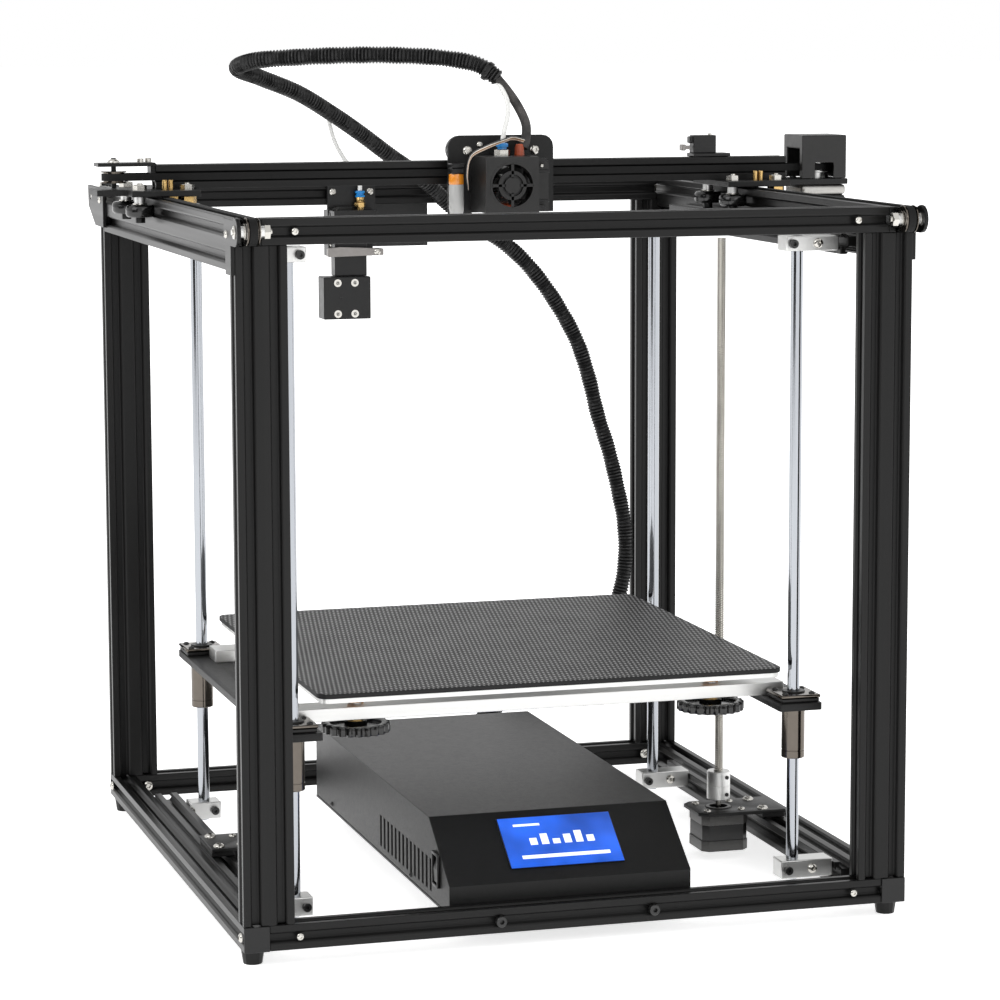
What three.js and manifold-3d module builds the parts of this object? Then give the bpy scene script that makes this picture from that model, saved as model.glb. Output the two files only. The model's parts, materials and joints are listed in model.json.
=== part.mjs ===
// Large cube-frame 3-D printer: a slotted-rail frame, a bed lifted by two screws, a gantry on belts.
// Units are millimetres, +X is the machine's right, +Y its rear, +Z up.  The frame is laid out about
// its own middle with the feet at z = 0, and the whole group is centred on its footprint at the end.
import * as THREE from 'three';
import * as BufferGeometryUtils from 'three/addons/utils/BufferGeometryUtils.js';
import Module from 'manifold-3d';

const wasm = await Module();
wasm.setup();

// ---- driving dimensions ----
const FRAME = { width: 544, depth: 580, foot: 12, post: 520 };
const RAIL = 20; // one cell of the slotted rail
const GAP = 0.3; // left between pieces that only rest on each other
const HALF_W = FRAME.width / 2;
const HALF_D = FRAME.depth / 2;
const BASE_TOP = FRAME.foot + RAIL;
const POST_TOP = BASE_TOP + FRAME.post;
const FRAME_TOP = POST_TOP + RAIL;

const LIFT = { x: -8.8, y: -49, half: 208.8, rodSpan: 352, rod: 5, screw: 4, screwTop: 535 };
const BED = { x: -8.5, width: 384, depth: 386, glassTop: 200.5, glass: 4, plate: 4, knob: 28, knobX: 149.5, knobY: 138 };
const CARRY = { top: 170.5, thick: 6, inner: 189, outer: 224, front: -247, rear: 147, bearing: 9.5, drop: 48 };
const LIFT_RAIL_RISE = 3; // how far the lift's lower rails stand above the base rails
const GANTRY = { y: 70, beamLow: 579, wheel: 12, wheelOff: 10, spacing: 32, left: -264, right: 300 };
const HEAD = { x: 33, plateY: 48, low: 555, high: 621, width: 94 };
const BELT = { width: 6, thick: 1.4, pulley: 9 };
const IDLER_Y = -303;
const SHAFT_Y = 322;
const AXLE_Z = 563; // height of the Y belt's pulleys
const MOTOR = 42;
const ROUND = 14; // sides of a turned piece

// ---- finishes ----
const finish = (color, roughness, metalness) => new THREE.MeshStandardMaterial({ color, roughness, metalness });
const PAINT = {
  anodised: finish(0x26272a, 0.45, 0.7),
  sheet: finish(0x202124, 0.6, 0.2),
  plastic: finish(0x17181a, 0.55, 0),
  bright: finish(0xb9bbbd, 0.35, 0.9),
  chrome: finish(0xd4d6d9, 0.12, 1),
  glass: finish(0x3a3b3d, 0.25, 0),
  rubber: finish(0x141414, 0.85, 0),
  brass: finish(0xb08a45, 0.3, 1),
  screen: finish(0x1c6fe0, 0.2, 0),
  motor: finish(0x1b1b1d, 0.5, 0.4),
  probe: finish(0xe8e2d2, 0.5, 0),
};

// ---- solids ----
/** Turns a closed geometry into a solid that can be joined and cut. */
function solid(geometry) {
  const bare = geometry.clone();
  bare.deleteAttribute('normal');
  bare.deleteAttribute('uv');
  const merged = BufferGeometryUtils.mergeVertices(bare, 1e-4);
  return new wasm.Manifold(new wasm.Mesh({
    numProp: 3,
    vertProperties: new Float32Array(merged.attributes.position.array),
    triVerts: new Uint32Array(merged.index.array),
  }));
}

/** Turns a solid back into a geometry. */
function shell(body) {
  const mesh = body.getMesh();
  const geometry = new THREE.BufferGeometry();
  geometry.setAttribute('position', new THREE.BufferAttribute(new Float32Array(mesh.vertProperties), 3));
  geometry.setIndex(new THREE.BufferAttribute(new Uint32Array(mesh.triVerts), 1));
  geometry.computeVertexNormals();
  return geometry;
}

const join = (...parts) => shell(parts.map(solid).reduce((whole, next) => whole.add(next)));
const cut = (body, ...tools) => shell(tools.map(solid).reduce((whole, next) => whole.subtract(next), solid(body)));

/** A block between two corners. */
function block(x0, x1, y0, y1, z0, z1) {
  return new THREE.BoxGeometry(x1 - x0, y1 - y0, z1 - z0)
    .translate((x0 + x1) / 2, (y0 + y1) / 2, (z0 + z1) / 2);
}

/** A round bar whose axis runs along the named direction, from low to high. */
function bar(axis, radius, low, high, a, b, sides = 12) {
  const round = new THREE.CylinderGeometry(radius, radius, high - low, sides);
  const middle = (low + high) / 2;
  if (axis === 'x') return round.rotateZ(-Math.PI / 2).translate(middle, a, b);
  if (axis === 'y') return round.translate(a, middle, b);
  return round.rotateX(Math.PI / 2).translate(a, b, middle);
}

/** Extrudes a flat outline and stands its thickness along the named axis. */
function plate(outline, axis, low, high, holes = []) {
  const shape = new THREE.Shape(outline.map(([u, v]) => new THREE.Vector2(u, v)));
  for (const [u, v, r] of holes) shape.holes.push(new THREE.Path().absarc(u, v, r, 0, 2 * Math.PI, true));
  const slab = new THREE.ExtrudeGeometry(shape, { depth: high - low, bevelEnabled: false, curveSegments: 8 });
  slab.translate(0, 0, low);
  if (axis === 'z') return slab;
  if (axis === 'x') return slab.applyMatrix4(new THREE.Matrix4().set(0, 0, 1, 0, 1, 0, 0, 0, 0, 1, 0, 0, 0, 0, 0, 1));
  return slab.applyMatrix4(new THREE.Matrix4().set(1, 0, 0, 0, 0, 0, -1, 0, 0, 1, 0, 0, 0, 0, 0, 1))
    .translate(0, low + high, 0);
}

/** One slotted side of a rail cell, walked along +u at the cell's lower edge, centred on u = 0. */
const SLOT = [[-4.6, 0], [-3, 1.8], [-5.5, 1.8], [-5.5, 3.4], [-2.9, 6], [2.9, 6], [5.5, 3.4], [5.5, 1.8], [3, 1.8], [4.6, 0]];

/** The outline of a slotted rail, a whole number of cells wide and tall, about its middle. */
function railOutline(cellsWide, cellsTall) {
  const half = [cellsWide * RAIL / 2, cellsTall * RAIL / 2];
  const points = [];
  for (let side = 0; side < 4; side += 1) {
    const along = half[side % 2];
    const out = half[(side + 1) % 2];
    const turn = side * Math.PI / 2;
    const place = (u, depth) => [
      Math.round(1e6 * (u * Math.cos(turn) - (depth - out) * Math.sin(turn))) / 1e6,
      Math.round(1e6 * (u * Math.sin(turn) + (depth - out) * Math.cos(turn))) / 1e6,
    ];
    points.push(place(-along, 0));
    for (let middle = RAIL / 2 - along; middle < along; middle += RAIL) {
      for (const [u, depth] of SLOT) points.push(place(middle + u, depth));
    }
  }
  return points;
}

/** A length of slotted rail along an axis, with its section centred at (a, b). */
function rail(axis, cellsA, cellsB, low, high, a, b) {
  const outline = railOutline(cellsA, cellsB).map(([u, v]) => [u + a, v + b]);
  return plate(outline, axis, low, high);
}

// Middle of the footprint, from the X idler's cap to the X motor's plate and from ears to rear brackets.
const CENTRE = { x: 19, y: 11 };

const printer = new THREE.Group();

/** Adds one named piece to the printer. */
function add(name, geometry, material) {
  const mesh = new THREE.Mesh(geometry, material);
  mesh.name = name;
  printer.add(mesh);
}

const SIDES = [['left', -1], ['right', 1]];

// ---- frame ----
function addPosts() {
  for (const [name, side] of SIDES) {
    const x = side * (HALF_W - RAIL);
    add(`post_front_${name}`, rail('z', 2, 1, BASE_TOP, POST_TOP, x, -HALF_D + RAIL / 2), PAINT.anodised);
    add(`post_rear_${name}`, rail('z', 2, 1, BASE_TOP, POST_TOP, x, HALF_D - RAIL / 2), PAINT.anodised);
  }
}

/** A tapered rubber foot with its top at the underside of a base rail. */
function foot(x, y) {
  return new THREE.CylinderGeometry(9.5, 7.5, FRAME.foot + 1, 14).rotateX(Math.PI / 2)
    .translate(x, y, (FRAME.foot + 1) / 2);
}

function addBase() {
  const inner = { front: -238, rear: 178 }; // the shorter rails that the lift hangs on
  const middle = FRAME.foot + RAIL / 2;
  const footY = HALF_D - 16;
  for (const [name, side] of SIDES) {
    const x = side * (HALF_W - RAIL / 2);
    const outer = rail('y', 1, 1, -HALF_D, HALF_D, x, middle);
    const lift = rail('y', 1, 1, inner.front, inner.rear, x - side * RAIL, middle + LIFT_RAIL_RISE);
    add(`base_rail_${name}`, join(outer, lift, foot(x, -footY), foot(x, footY)), PAINT.anodised);
  }
  const reach = HALF_W - RAIL;
  add('base_rail_front', rail('x', 1, 1, -reach, reach, -HALF_D + RAIL / 2, middle), PAINT.anodised);
  add('base_rail_rear', rail('x', 1, 1, -reach, reach, HALF_D - RAIL / 2, middle), PAINT.anodised);
}

/** The steel corner plate outside a front post, with its ear for the belt idler. */
function cornerPlate(side) {
  const low = POST_TOP - 22;
  const ear = new THREE.CylinderGeometry(11, 11, 3, 16).rotateZ(Math.PI / 2).translate(0, IDLER_Y, AXLE_Z);
  const body = join(block(-1.5, 1.5, IDLER_Y, -HALF_D + 26, AXLE_Z - 11, AXLE_Z + 9),
    block(-1.5, 1.5, -HALF_D + 1, -HALF_D + 21, low, AXLE_Z), ear);
  const hole = bar('x', 3, -3, 3, IDLER_Y, AXLE_Z, 12);
  return cut(body, hole).translate(side * (HALF_W + 1.5), 0, 0);
}

/** The rear bracket outside a post, which carries one end of the Y drive shaft. */
function shaftBracket(side) {
  const outline = [[258, 571], [258, 536], [300, 536], [334, 552], [336, 571]];
  const x = side * (HALF_W + 1.5);
  return plate(outline, 'x', x - 1.5, x + 1.5, [[SHAFT_Y, AXLE_Z, 4.6]]);
}

function addTop() {
  const reach = HALF_W - RAIL;
  const middle = FRAME_TOP - RAIL / 2;
  add('top_rail_front', rail('x', 1, 1, -reach, reach, -HALF_D + RAIL / 2, middle), PAINT.anodised);
  add('top_rail_rear', rail('x', 1, 1, -reach, reach, HALF_D - RAIL / 2, middle), PAINT.anodised);
  for (const [name, side] of SIDES) {
    const x = side * (HALF_W - RAIL / 2);
    const whole = rail('y', 1, 2, -HALF_D, HALF_D, x, FRAME_TOP - RAIL);
    const notch = (low, high) => block(x - RAIL, x + RAIL, low, high, POST_TOP - 2 * RAIL, POST_TOP);
    const channel = block(x - 4.5, x + 4.5, -HALF_D - 1, HALF_D + 1, POST_TOP - 1, POST_TOP + 3.5);
    const cutRail = cut(whole, notch(-HALF_D - 1, -HALF_D + RAIL), notch(HALF_D - RAIL, HALF_D + 1), channel);
    const lift = rail('y', 1, 1, -238, 178, x - side * RAIL, POST_TOP - RAIL / 2);
    add(`y_rail_${name}`, join(cutRail, lift, cornerPlate(side), shaftBracket(side)), PAINT.anodised);
  }
}

// ---- lift ----
/** Where a side's lead screw stands: in line with the rods, but with its motor clear of the lift rail. */
function screwX(side) {
  const clear = HALF_W - 2 * RAIL - GAP - MOTOR / 2;
  return Math.min(clear, Math.max(-clear, LIFT.x + side * LIFT.half));
}

/** An aluminium block that holds one end of a guide rod to a lift rail. */
function rodClamp(side, y, low, tall) {
  const wall = side * (HALF_W - 2 * RAIL - GAP);
  const tip = LIFT.x + side * (LIFT.half - 13);
  return block(Math.min(wall, tip), Math.max(wall, tip), y - 10, y + 10, low, low + tall);
}

function addGuideRods() {
  const clampLow = BASE_TOP - 9;
  const clampHigh = POST_TOP - 17;
  for (const [name, side] of SIDES) {
    for (const [end, sign] of [['front', -1], ['rear', 1]]) {
      const x = LIFT.x + side * LIFT.half;
      const y = LIFT.y + sign * LIFT.rodSpan / 2;
      const rod = bar('z', LIFT.rod, clampLow - 2, clampHigh + 12, x, y, ROUND);
      const clamps = [rodClamp(side, y, clampLow, 15), rodClamp(side, y, clampHigh, 12)];
      add(`guide_rod_${end}_${name}`, join(rod, ...clamps), PAINT.chrome);
    }
  }
}

function addLiftDrives() {
  const motorLow = 7.5;
  const railTop = BASE_TOP + LIFT_RAIL_RISE;
  const plateLow = railTop + 4.5;
  for (const [name, side] of SIDES) {
    const x = screwX(side);
    const outer = side * (HALF_W - RAIL);
    const inner = x - side * 25;
    const wall = side * (HALF_W - 2 * RAIL);
    const deck = block(Math.min(outer, inner), Math.max(outer, inner), LIFT.y - 26, LIFT.y + 26, plateLow, plateLow + 3);
    const riser = block(Math.min(outer, wall), Math.max(outer, wall), LIFT.y - 26, LIFT.y + 26, railTop + GAP, plateLow + 1);
    const body = block(x - MOTOR / 2, x + MOTOR / 2, LIFT.y - MOTOR / 2, LIFT.y + MOTOR / 2, motorLow, plateLow + 1);
    const bore = bar('z', 11, plateLow - 2, plateLow + 4, x, LIFT.y);
    add(`z_motor_${name}`, cut(join(deck, riser, body), bore), PAINT.motor);
    const coupler = bar('z', 10, plateLow + 10, plateLow + 35, x, LIFT.y, ROUND);
    const shaft = bar('z', 2.5, plateLow - 2 + GAP, plateLow + 20, x, LIFT.y, 10);
    const thread = bar('z', LIFT.screw, plateLow + 26, LIFT.screwTop, x, LIFT.y, 14);
    add(`lead_screw_${name}`, join(thread, coupler, shaft), PAINT.bright);
  }
}

// ---- bed ----
/** A carrier under one side of the bed, with its two rod bearings and its screw nut. */
function carrier(side) {
  const x = LIFT.x + side * LIFT.half;
  const near = LIFT.x + side * CARRY.inner;
  const far = LIFT.x + side * CARRY.outer;
  const [x0, x1] = [Math.min(near, far), Math.max(near, far)];
  const sheet = block(x0, x1, CARRY.front, CARRY.rear, CARRY.top - CARRY.thick, CARRY.top);
  const nut = bar('z', 11, CARRY.top - 16, CARRY.top + 4, screwX(side), LIFT.y, 18);
  const parts = [sheet, nut];
  const bores = [bar('z', LIFT.screw + 0.5, 100, 220, screwX(side), LIFT.y, 14)];
  for (const sign of [-1, 1]) {
    const y = LIFT.y + sign * LIFT.rodSpan / 2;
    parts.push(block(x - 17, x + 17, y - 20, y + 20, CARRY.top - 1, CARRY.top + 6));
    parts.push(bar('z', CARRY.bearing, CARRY.top - CARRY.drop, CARRY.top, x, y, ROUND));
    bores.push(bar('z', LIFT.rod + 0.5, 100, 220, x, y, ROUND));
  }
  return cut(join(...parts), ...bores);
}

/** A thumb wheel with a scalloped rim, for levelling one corner of the bed. */
function thumbWheel(x, y) {
  const lobes = 14;
  const steps = lobes * 2;
  const outline = [];
  for (let step = 0; step < steps; step += 1) {
    const angle = step * 2 * Math.PI / steps;
    const radius = BED.knob - 1.4 + 1.4 * Math.cos(lobes * angle);
    outline.push([x + radius * Math.cos(angle), y + radius * Math.sin(angle)]);
  }
  const low = CARRY.top - 12;
  return join(plate(outline, 'z', low, low + 7.5), bar('z', 7, low + 5, CARRY.top - 1, x, y, 16));
}

function addBed() {
  const [x, y] = [BED.x, LIFT.y - 3];
  const glassLow = BED.glassTop - BED.glass;
  const rounded = (halfX, halfY, r) => {
    const outline = [];
    for (const [sx, sy, start] of [[1, -1, -90], [1, 1, 0], [-1, 1, 90], [-1, -1, 180]]) {
      for (let step = 0; step <= 4; step += 1) {
        const angle = (start + step * 22.5) * Math.PI / 180;
        outline.push([x + sx * (halfX - r) + r * Math.cos(angle), y + sy * (halfY - r) + r * Math.sin(angle)]);
      }
    }
    return outline;
  };
  add('build_plate', plate(rounded(BED.width / 2, BED.depth / 2, 9), 'z', glassLow, BED.glassTop), PAINT.glass);
  const heated = rounded(BED.width / 2 - 2, BED.depth / 2 - 2, 6);
  add('heated_plate', plate(heated, 'z', glassLow - BED.plate, glassLow), PAINT.bright);
  const reach = 208;
  for (const [end, sign] of [['front', -1], ['rear', 1]]) {
    const middle = y + sign * BED.knobY;
    const beam = block(x - reach, x + reach, middle - 14, middle + 14, CARRY.top, CARRY.top + 10.5);
    const posts = SIDES.map(([, side]) => bar('z', 4, CARRY.top + 6, glassLow - BED.plate, x + side * BED.knobX, middle, 12));
    add(`bed_bar_${end}`, join(beam, ...posts), PAINT.bright);
    for (const [name, side] of SIDES) {
      add(`level_knob_${end}_${name}`, thumbWheel(x + side * BED.knobX, middle), PAINT.plastic);
    }
  }
  for (const [name, side] of SIDES) add(`bed_carrier_${name}`, carrier(side), PAINT.sheet);
}

// ---- control box ----
const BOX = { left: -103, right: 97, front: -268, rear: 181, low: 24, lip: 46, slope: -207, top: 89, wall: 1.5 };
const CABLE_EXIT = { x: 50, z: 62 };

function addControlBox() {
  const outline = (t) => [
    [BOX.front + t, BOX.low - (t ? 1 : 0)], [BOX.rear - t, BOX.low - (t ? 1 : 0)], [BOX.rear - t, BOX.top - t],
    [BOX.slope + t * 0.4, BOX.top - t], [BOX.front + t, BOX.lip - t * 0.4],
  ];
  const skin = plate(outline(0), 'x', BOX.left, BOX.right);
  const hollow = plate(outline(BOX.wall), 'x', BOX.left + BOX.wall, BOX.right - BOX.wall);
  const vents = [];
  for (let slot = 0; slot < 14; slot += 1) {
    const y = -214 + slot * 12.2;
    vents.push(block(BOX.left - 1, BOX.left + 3, y, y + 4.5, 30, 56));
  }
  const rocker = block(BOX.left - 1, BOX.left + 3, -238, -224, 40, 64);
  const inlet = block(-60, -32, BOX.rear - 3, BOX.rear + 1, 40, 62);
  const gland = bar('y', 9, BOX.rear - 3, BOX.rear + 1, CABLE_EXIT.x, CABLE_EXIT.z, 16);
  add('control_box_cover', cut(skin, hollow, rocker, inlet, gland, ...vents), PAINT.sheet);
  const tray = block(BOX.left, BOX.right, BOX.front, BOX.rear, BOX.low - 2, BOX.low - GAP);
  const ears = block(-60, 60, -HALF_D + RAIL, -HALF_D + RAIL + 2, FRAME.foot + 2, BOX.low - GAP);
  const supply = block(-70, 30, -110, 100, BOX.low - 1, BOX.low + 38);
  const board = block(-30, 80, -220, -125, BOX.low + 4, BOX.low + 6);
  const chips = [[-10, -180], [20, -180], [50, -180], [10, -150]].map(([x, y]) => block(x, x + 16, y, y + 16,
    BOX.low + 5, BOX.low + 14));
  const feet = [[-26, -216], [72, -216], [-26, -132], [72, -132]].map(([x, y]) => block(x, x + 5, y, y + 5,
    BOX.low - 1, BOX.low + 5));
  add('electronics_tray', join(tray, ears, supply, board, ...chips, ...feet), PAINT.bright);
}

/** The tilt of the control box's sloping front, as a turn about X. */
const SLOPE = Math.atan2(BOX.top - BOX.lip, BOX.slope - BOX.front);

const ROCKER_TILT = 7 * Math.PI / 180; // the rocker rests with its lower end out

/** Places a geometry made flat at the origin onto the sloping front. */
function onSlope(geometry, x, along) {
  return geometry.rotateX(SLOPE)
    .translate(x, BOX.front + along * Math.cos(SLOPE), BOX.lip + along * Math.sin(SLOPE));
}

function addControls() {
  add('touch_screen', onSlope(block(-47.5, 47.5, -26.5, 26.5, GAP, 1.5), -2.4, 39.5), PAINT.screen);
  const rocker = plate([[-5.5, -11], [0.8, -11], [2.6, 0], [0.8, 11], [-5.5, 11]].map(([u, v]) => [-u, v]), 'y', -6, 6);
  add('power_switch', rocker.rotateY(ROCKER_TILT).translate(BOX.left + 1, -231, 52), PAINT.plastic);
}

// ---- gantry ----
/** A V-edged wheel about +Z at the origin. */
function wheel() {
  const half = 5;
  const profile = [[2.6, -half], [9.6, -half], [GANTRY.wheel, -2.4], [GANTRY.wheel, 2.4], [9.6, half], [2.6, half], [2.6, -half]];
  return new THREE.LatheGeometry(profile.map(([r, y]) => new THREE.Vector2(r, y)), ROUND).rotateX(Math.PI / 2);
}

const WHEEL_Z = FRAME_TOP - RAIL / 2;
const X_PULLEY = { left: -298, right: 332, z: 589 };

/** A carriage plate over one Y rail, with the spacers that hold its four wheels. */
function gantryPlate(side) {
  const railX = side * (HALF_W - RAIL / 2);
  const [x0, x1] = side < 0 ? [-316, -229] : [244, 354];
  const low = GANTRY.beamLow - 5;
  const slab = block(x0, x1, GANTRY.y - 22, GANTRY.y + 22, low, low + 5);
  const wings = block(railX - 29, railX + 29, GANTRY.y - 46, GANTRY.y + 46, low, low + 5);
  const parts = [slab, wings];
  for (const across of [-1, 1]) {
    for (const along of [-1, 1]) {
      const x = railX + across * (RAIL / 2 + GANTRY.wheelOff);
      parts.push(bar('z', 2.3, WHEEL_Z - 9, low + 2, x, GANTRY.y + along * GANTRY.spacing, 10));
      parts.push(bar('z', 4.5, WHEEL_Z + 5.4, low + 2, x, GANTRY.y + along * GANTRY.spacing, 10));
      parts.push(bar('z', 4.5, WHEEL_Z - 10, WHEEL_Z - 5.4, x, GANTRY.y + along * GANTRY.spacing, 6));
    }
  }
  return cut(join(...parts), bar('z', 11, low - 2, low + 8, X_PULLEY.right, GANTRY.y));
}

/** A toothed belt around two pulleys, as a closed band with its axis along the named direction. */
function beltLoop(axis, a0, a1, radius, b, c) {
  const outline = (r) => {
    const path = new THREE.Path();
    path.absarc(a1, b, r, -Math.PI / 2, Math.PI / 2, false);
    path.absarc(a0, b, r, Math.PI / 2, 3 * Math.PI / 2, false);
    return path.getPoints(8).slice(0, -1).map((point) => [point.x, point.y]);
  };
  const outer = plate(outline(radius + BELT.thick), axis, c - BELT.width / 2, c + BELT.width / 2);
  const inner = plate(outline(radius), axis, c - BELT.width, c + BELT.width);
  return cut(outer, inner);
}

/** A flanged pulley on its axis along +Z at the origin. */
function pulley(radius, bore) {
  const flange = radius + 2;
  const grip = radius - GAP;
  const profile = [[bore, -5], [flange, -5], [flange, -3.8], [grip, -3.6], [grip, 3.6], [flange, 3.8], [flange, 5], [bore, 5], [bore, -5]];
  return new THREE.LatheGeometry(profile.map(([r, y]) => new THREE.Vector2(r, y)), ROUND).rotateX(Math.PI / 2);
}

function addGantry() {
  const beamMiddle = GANTRY.beamLow + RAIL / 2;
  const beam = rail('x', 1, 1, GANTRY.left, GANTRY.right, GANTRY.y, beamMiddle);
  const cap = block(-313, GANTRY.left - GAP, GANTRY.y - 11, GANTRY.y + 11, GANTRY.beamLow + 19, GANTRY.beamLow + 22);
  const strap = block(GANTRY.left - 4, GANTRY.left + 1, GANTRY.y - 8, GANTRY.y + 8, GANTRY.beamLow + 12, GANTRY.beamLow + 21);
  const bolt = bar('z', 2.2, GANTRY.beamLow + GAP, GANTRY.beamLow + 26, X_PULLEY.left, GANTRY.y, 10);
  add('gantry_beam', join(beam, cap, strap, bolt), PAINT.anodised);
  for (const [name, side] of SIDES) add(`gantry_plate_${name}`, gantryPlate(side), PAINT.sheet);
  add('x_idler', pulley(BELT.pulley, 2.6).translate(X_PULLEY.left, GANTRY.y, X_PULLEY.z), PAINT.bright);
  add('x_belt', beltLoop('z', X_PULLEY.left, X_PULLEY.right, BELT.pulley, GANTRY.y, X_PULLEY.z), PAINT.rubber);
  addXMotor();
}

function addXMotor() {
  const [x, y, half] = [X_PULLEY.right, GANTRY.y, MOTOR / 2];
  const floor = GANTRY.beamLow + GAP;
  const plateLow = GANTRY.beamLow - 5 - GAP;
  const body = block(x - half, x + half, y - half, y + half, plateLow - 38, plateLow);
  const shaft = bar('z', 2.5, plateLow - 20, floor + 22, x, y, 10);
  add('x_motor', join(body, shaft), PAINT.motor);
  const outer = block(x - half, x + half, y - half, y + half + 3, floor, floor + 38);
  const inner = block(x - half + 2, x + half - 2, y - half + 2, y + half + 1, floor - 1, floor + 36);
  const side = block(x - half - 1, x - half + 3, y - 14, y + 16, floor - 1, floor + 26);
  const front = block(x - 9, x + 9, y - half - 1, y - half + 3, floor - 1, floor + 14);
  add('x_motor_cover', cut(outer, inner, side, front), PAINT.sheet);
}

function addWheels() {
  const offset = RAIL / 2 + GANTRY.wheelOff;
  for (const [name, side] of SIDES) {
    const x = side * (HALF_W - RAIL / 2) - offset;
    for (const [end, along] of [['front', -1], ['rear', 1]]) {
      const y = GANTRY.y + along * GANTRY.spacing;
      add(`rail_wheel_${name}_${end}`, wheel().translate(x, y, WHEEL_Z), PAINT.plastic);
    }
  }
}

function addYDrive() {
  for (const [name, side] of SIDES) {
    const x = side * (HALF_W - RAIL / 2);
    const idler = pulley(BELT.pulley, 2.6).rotateY(Math.PI / 2).translate(x, IDLER_Y, AXLE_Z);
    add(`y_idler_${name}`, idler, PAINT.bright);
    add(`y_belt_${name}`, beltLoop('x', IDLER_Y, SHAFT_Y, BELT.pulley, AXLE_Z, x), PAINT.rubber);
  }
  const reach = HALF_W + 2.5;
  const ends = SIDES.map(([, side]) => pulley(BELT.pulley, 3).rotateY(Math.PI / 2)
    .translate(side * (HALF_W - RAIL / 2), SHAFT_Y, AXLE_Z));
  const centre = bar('x', 7, 36, 46, SHAFT_Y, AXLE_Z, 16);
  add('y_drive_shaft', join(bar('x', 4, -reach, reach, SHAFT_Y, AXLE_Z, 14), ...ends, centre), PAINT.bright);
  const bracket = block(-24, 34, HALF_D + GAP, HALF_D + 3, 512, 570);
  const arm = block(31, 34, HALF_D + GAP, HALF_D + 44, 512, 556);
  const body = block(-10, 32, HALF_D + 3.5, HALF_D + 44, 512, 554);
  add('y_motor', join(bracket, arm, body), PAINT.motor);
}

// ---- extruder ----
function addExtruder() {
  const face = HALF_D - RAIL - GAP;
  const mount = block(-67, -22, face - 4, face, 540, 571);
  const neck = block(-64, -34, face - 18, face - 3, 488, 541);
  const gearbox = block(-66, -26, face - 26, face - 4, 520, 548);
  const motor = block(-66, -24, face - 2, face + 16, 505, 547);
  add('extruder_drive', join(mount, neck, gearbox, motor), PAINT.bright);
  const [x0, x1] = [-76, -32];
  const sensor = block(x0, x1, face - 24, face - 2, 449, 488 - GAP);
  add('filament_sensor', cut(sensor, bar('z', 1.6, 440, 500, -53, face - 12, 10)), PAINT.plastic);
  const arm = plate([[-72, -4], [-20, -3], [-20, 3], [-60, 5], [-72, 4]].map(([u, v]) => [u, v + 510]), 'y', face - 26, face - 19);
  add('extruder_lever', arm, PAINT.bright);
}

// ---- print head ----
function addHead() {
  const { plateY, low, high } = HEAD;
  const x0 = HEAD.x - HEAD.width / 2;
  const x1 = HEAD.x + HEAD.width / 2;
  const turn = 10; // radius of the plate's upper corners
  const corner = (x, from) => [0, 1, 2, 3, 4].map((step) => (from + step * 22.5) * Math.PI / 180)
    .map((angle) => [x + turn * Math.cos(angle), high - turn + turn * Math.sin(angle)]);
  const cornered = [[x0, low], [x1, low], ...corner(x1 - turn, 0), ...corner(x0 + turn, 90)];
  const back = plate(cornered, 'y', plateY - 3, plateY);
  const axles = [[HEAD.x - 30, 608], [HEAD.x + 30, 608], [HEAD.x, 570]].map(([x, z]) => bar('y', 2.4, plateY - 1, 78, x, z, 10));
  const clip = block(HEAD.x - 14, HEAD.x + 14, plateY - 1, 58, 584, 594);
  add('head_plate', join(back, clip, ...axles), PAINT.sheet);

  const box = { left: 5, right: 52, front: -5, rear: plateY - 3 - GAP, low: 557, high: 604 };
  const outer = block(box.left, box.right, box.front, box.rear, box.low, box.high);
  const inner = block(box.left + 2, box.right - 2, box.front + 14, box.rear - 2, box.low - 1, box.high - 2);
  const fanHole = bar('y', 18.6, box.front - 1, box.front + 15, 28.5, 580, 24);
  const shroud = cut(outer, inner, fanHole);
  const blower = block(box.right - 1, 64, 7, 40, 557, 600);
  add('fan_shroud', join(shroud, blower), PAINT.sheet);

  const hub = bar('y', 8, box.front + 1, box.front + 12, 28.5, 580, 16);
  const blades = [];
  for (let blade = 0; blade < 7; blade += 1) {
    const angle = blade * 2 * Math.PI / 7;
    const vane = block(6, 17.4, box.front + 3, box.front + 10, -0.7, 0.7);
    blades.push(vane.rotateY(angle).translate(28.5, 0, 580));
  }
  add('fan_rotor', join(hub, ...blades), PAINT.plastic);

  const nozzle = new THREE.CylinderGeometry(3.6, 0.8, 5, 12).rotateX(Math.PI / 2).translate(28.5, 26, 548);
  const heater = block(19, 38, 16, 36, 550, 560);
  const sink = bar('z', 8, 558, 600, 28.5, 26, 18);
  add('hotend', join(heater, nozzle, sink), PAINT.brass);

  const probe = join(block(-17, -5, 16, 30, 572, 598), bar('z', 6, 558, 573, -11, 23, 16), bar('z', 1, 550, 559, -11, 23, 8),
    block(-14, -8, 29, plateY - 3 - GAP, 580, 598));
  add('level_probe', probe, PAINT.probe);
}

// ---- cable loom ----
/** The corrugated loom's middle line, from the rear of the control box up and over to the head. */
const LOOM = [
  [50, 183, 62], [51, 202, 64], [64, 222, 74], [95, 238, 90], [138, 245, 108], [178, 248, 134], [203, 249, 168],
  [213, 249, 205], [214, 251, 245], [207, 254, 287], [199, 255, 320], [189, 256, 352], [180, 256, 388],
  [169, 255, 420], [154, 254, 448], [134, 252, 477], [113, 251, 501], [91, 250, 519], [60, 249, 538],
  [38, 246, 556], [14, 238, 577], [-18, 228, 598], [-47, 218, 618], [-76, 205, 636], [-110, 192, 655],
  [-147, 178, 669], [-172, 160, 678], [-163, 138, 684], [-135, 118, 687], [-92, 97, 689], [-52, 80, 689],
  [-10, 64, 686], [16, 52, 680], [31, 45, 669],
];

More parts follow.
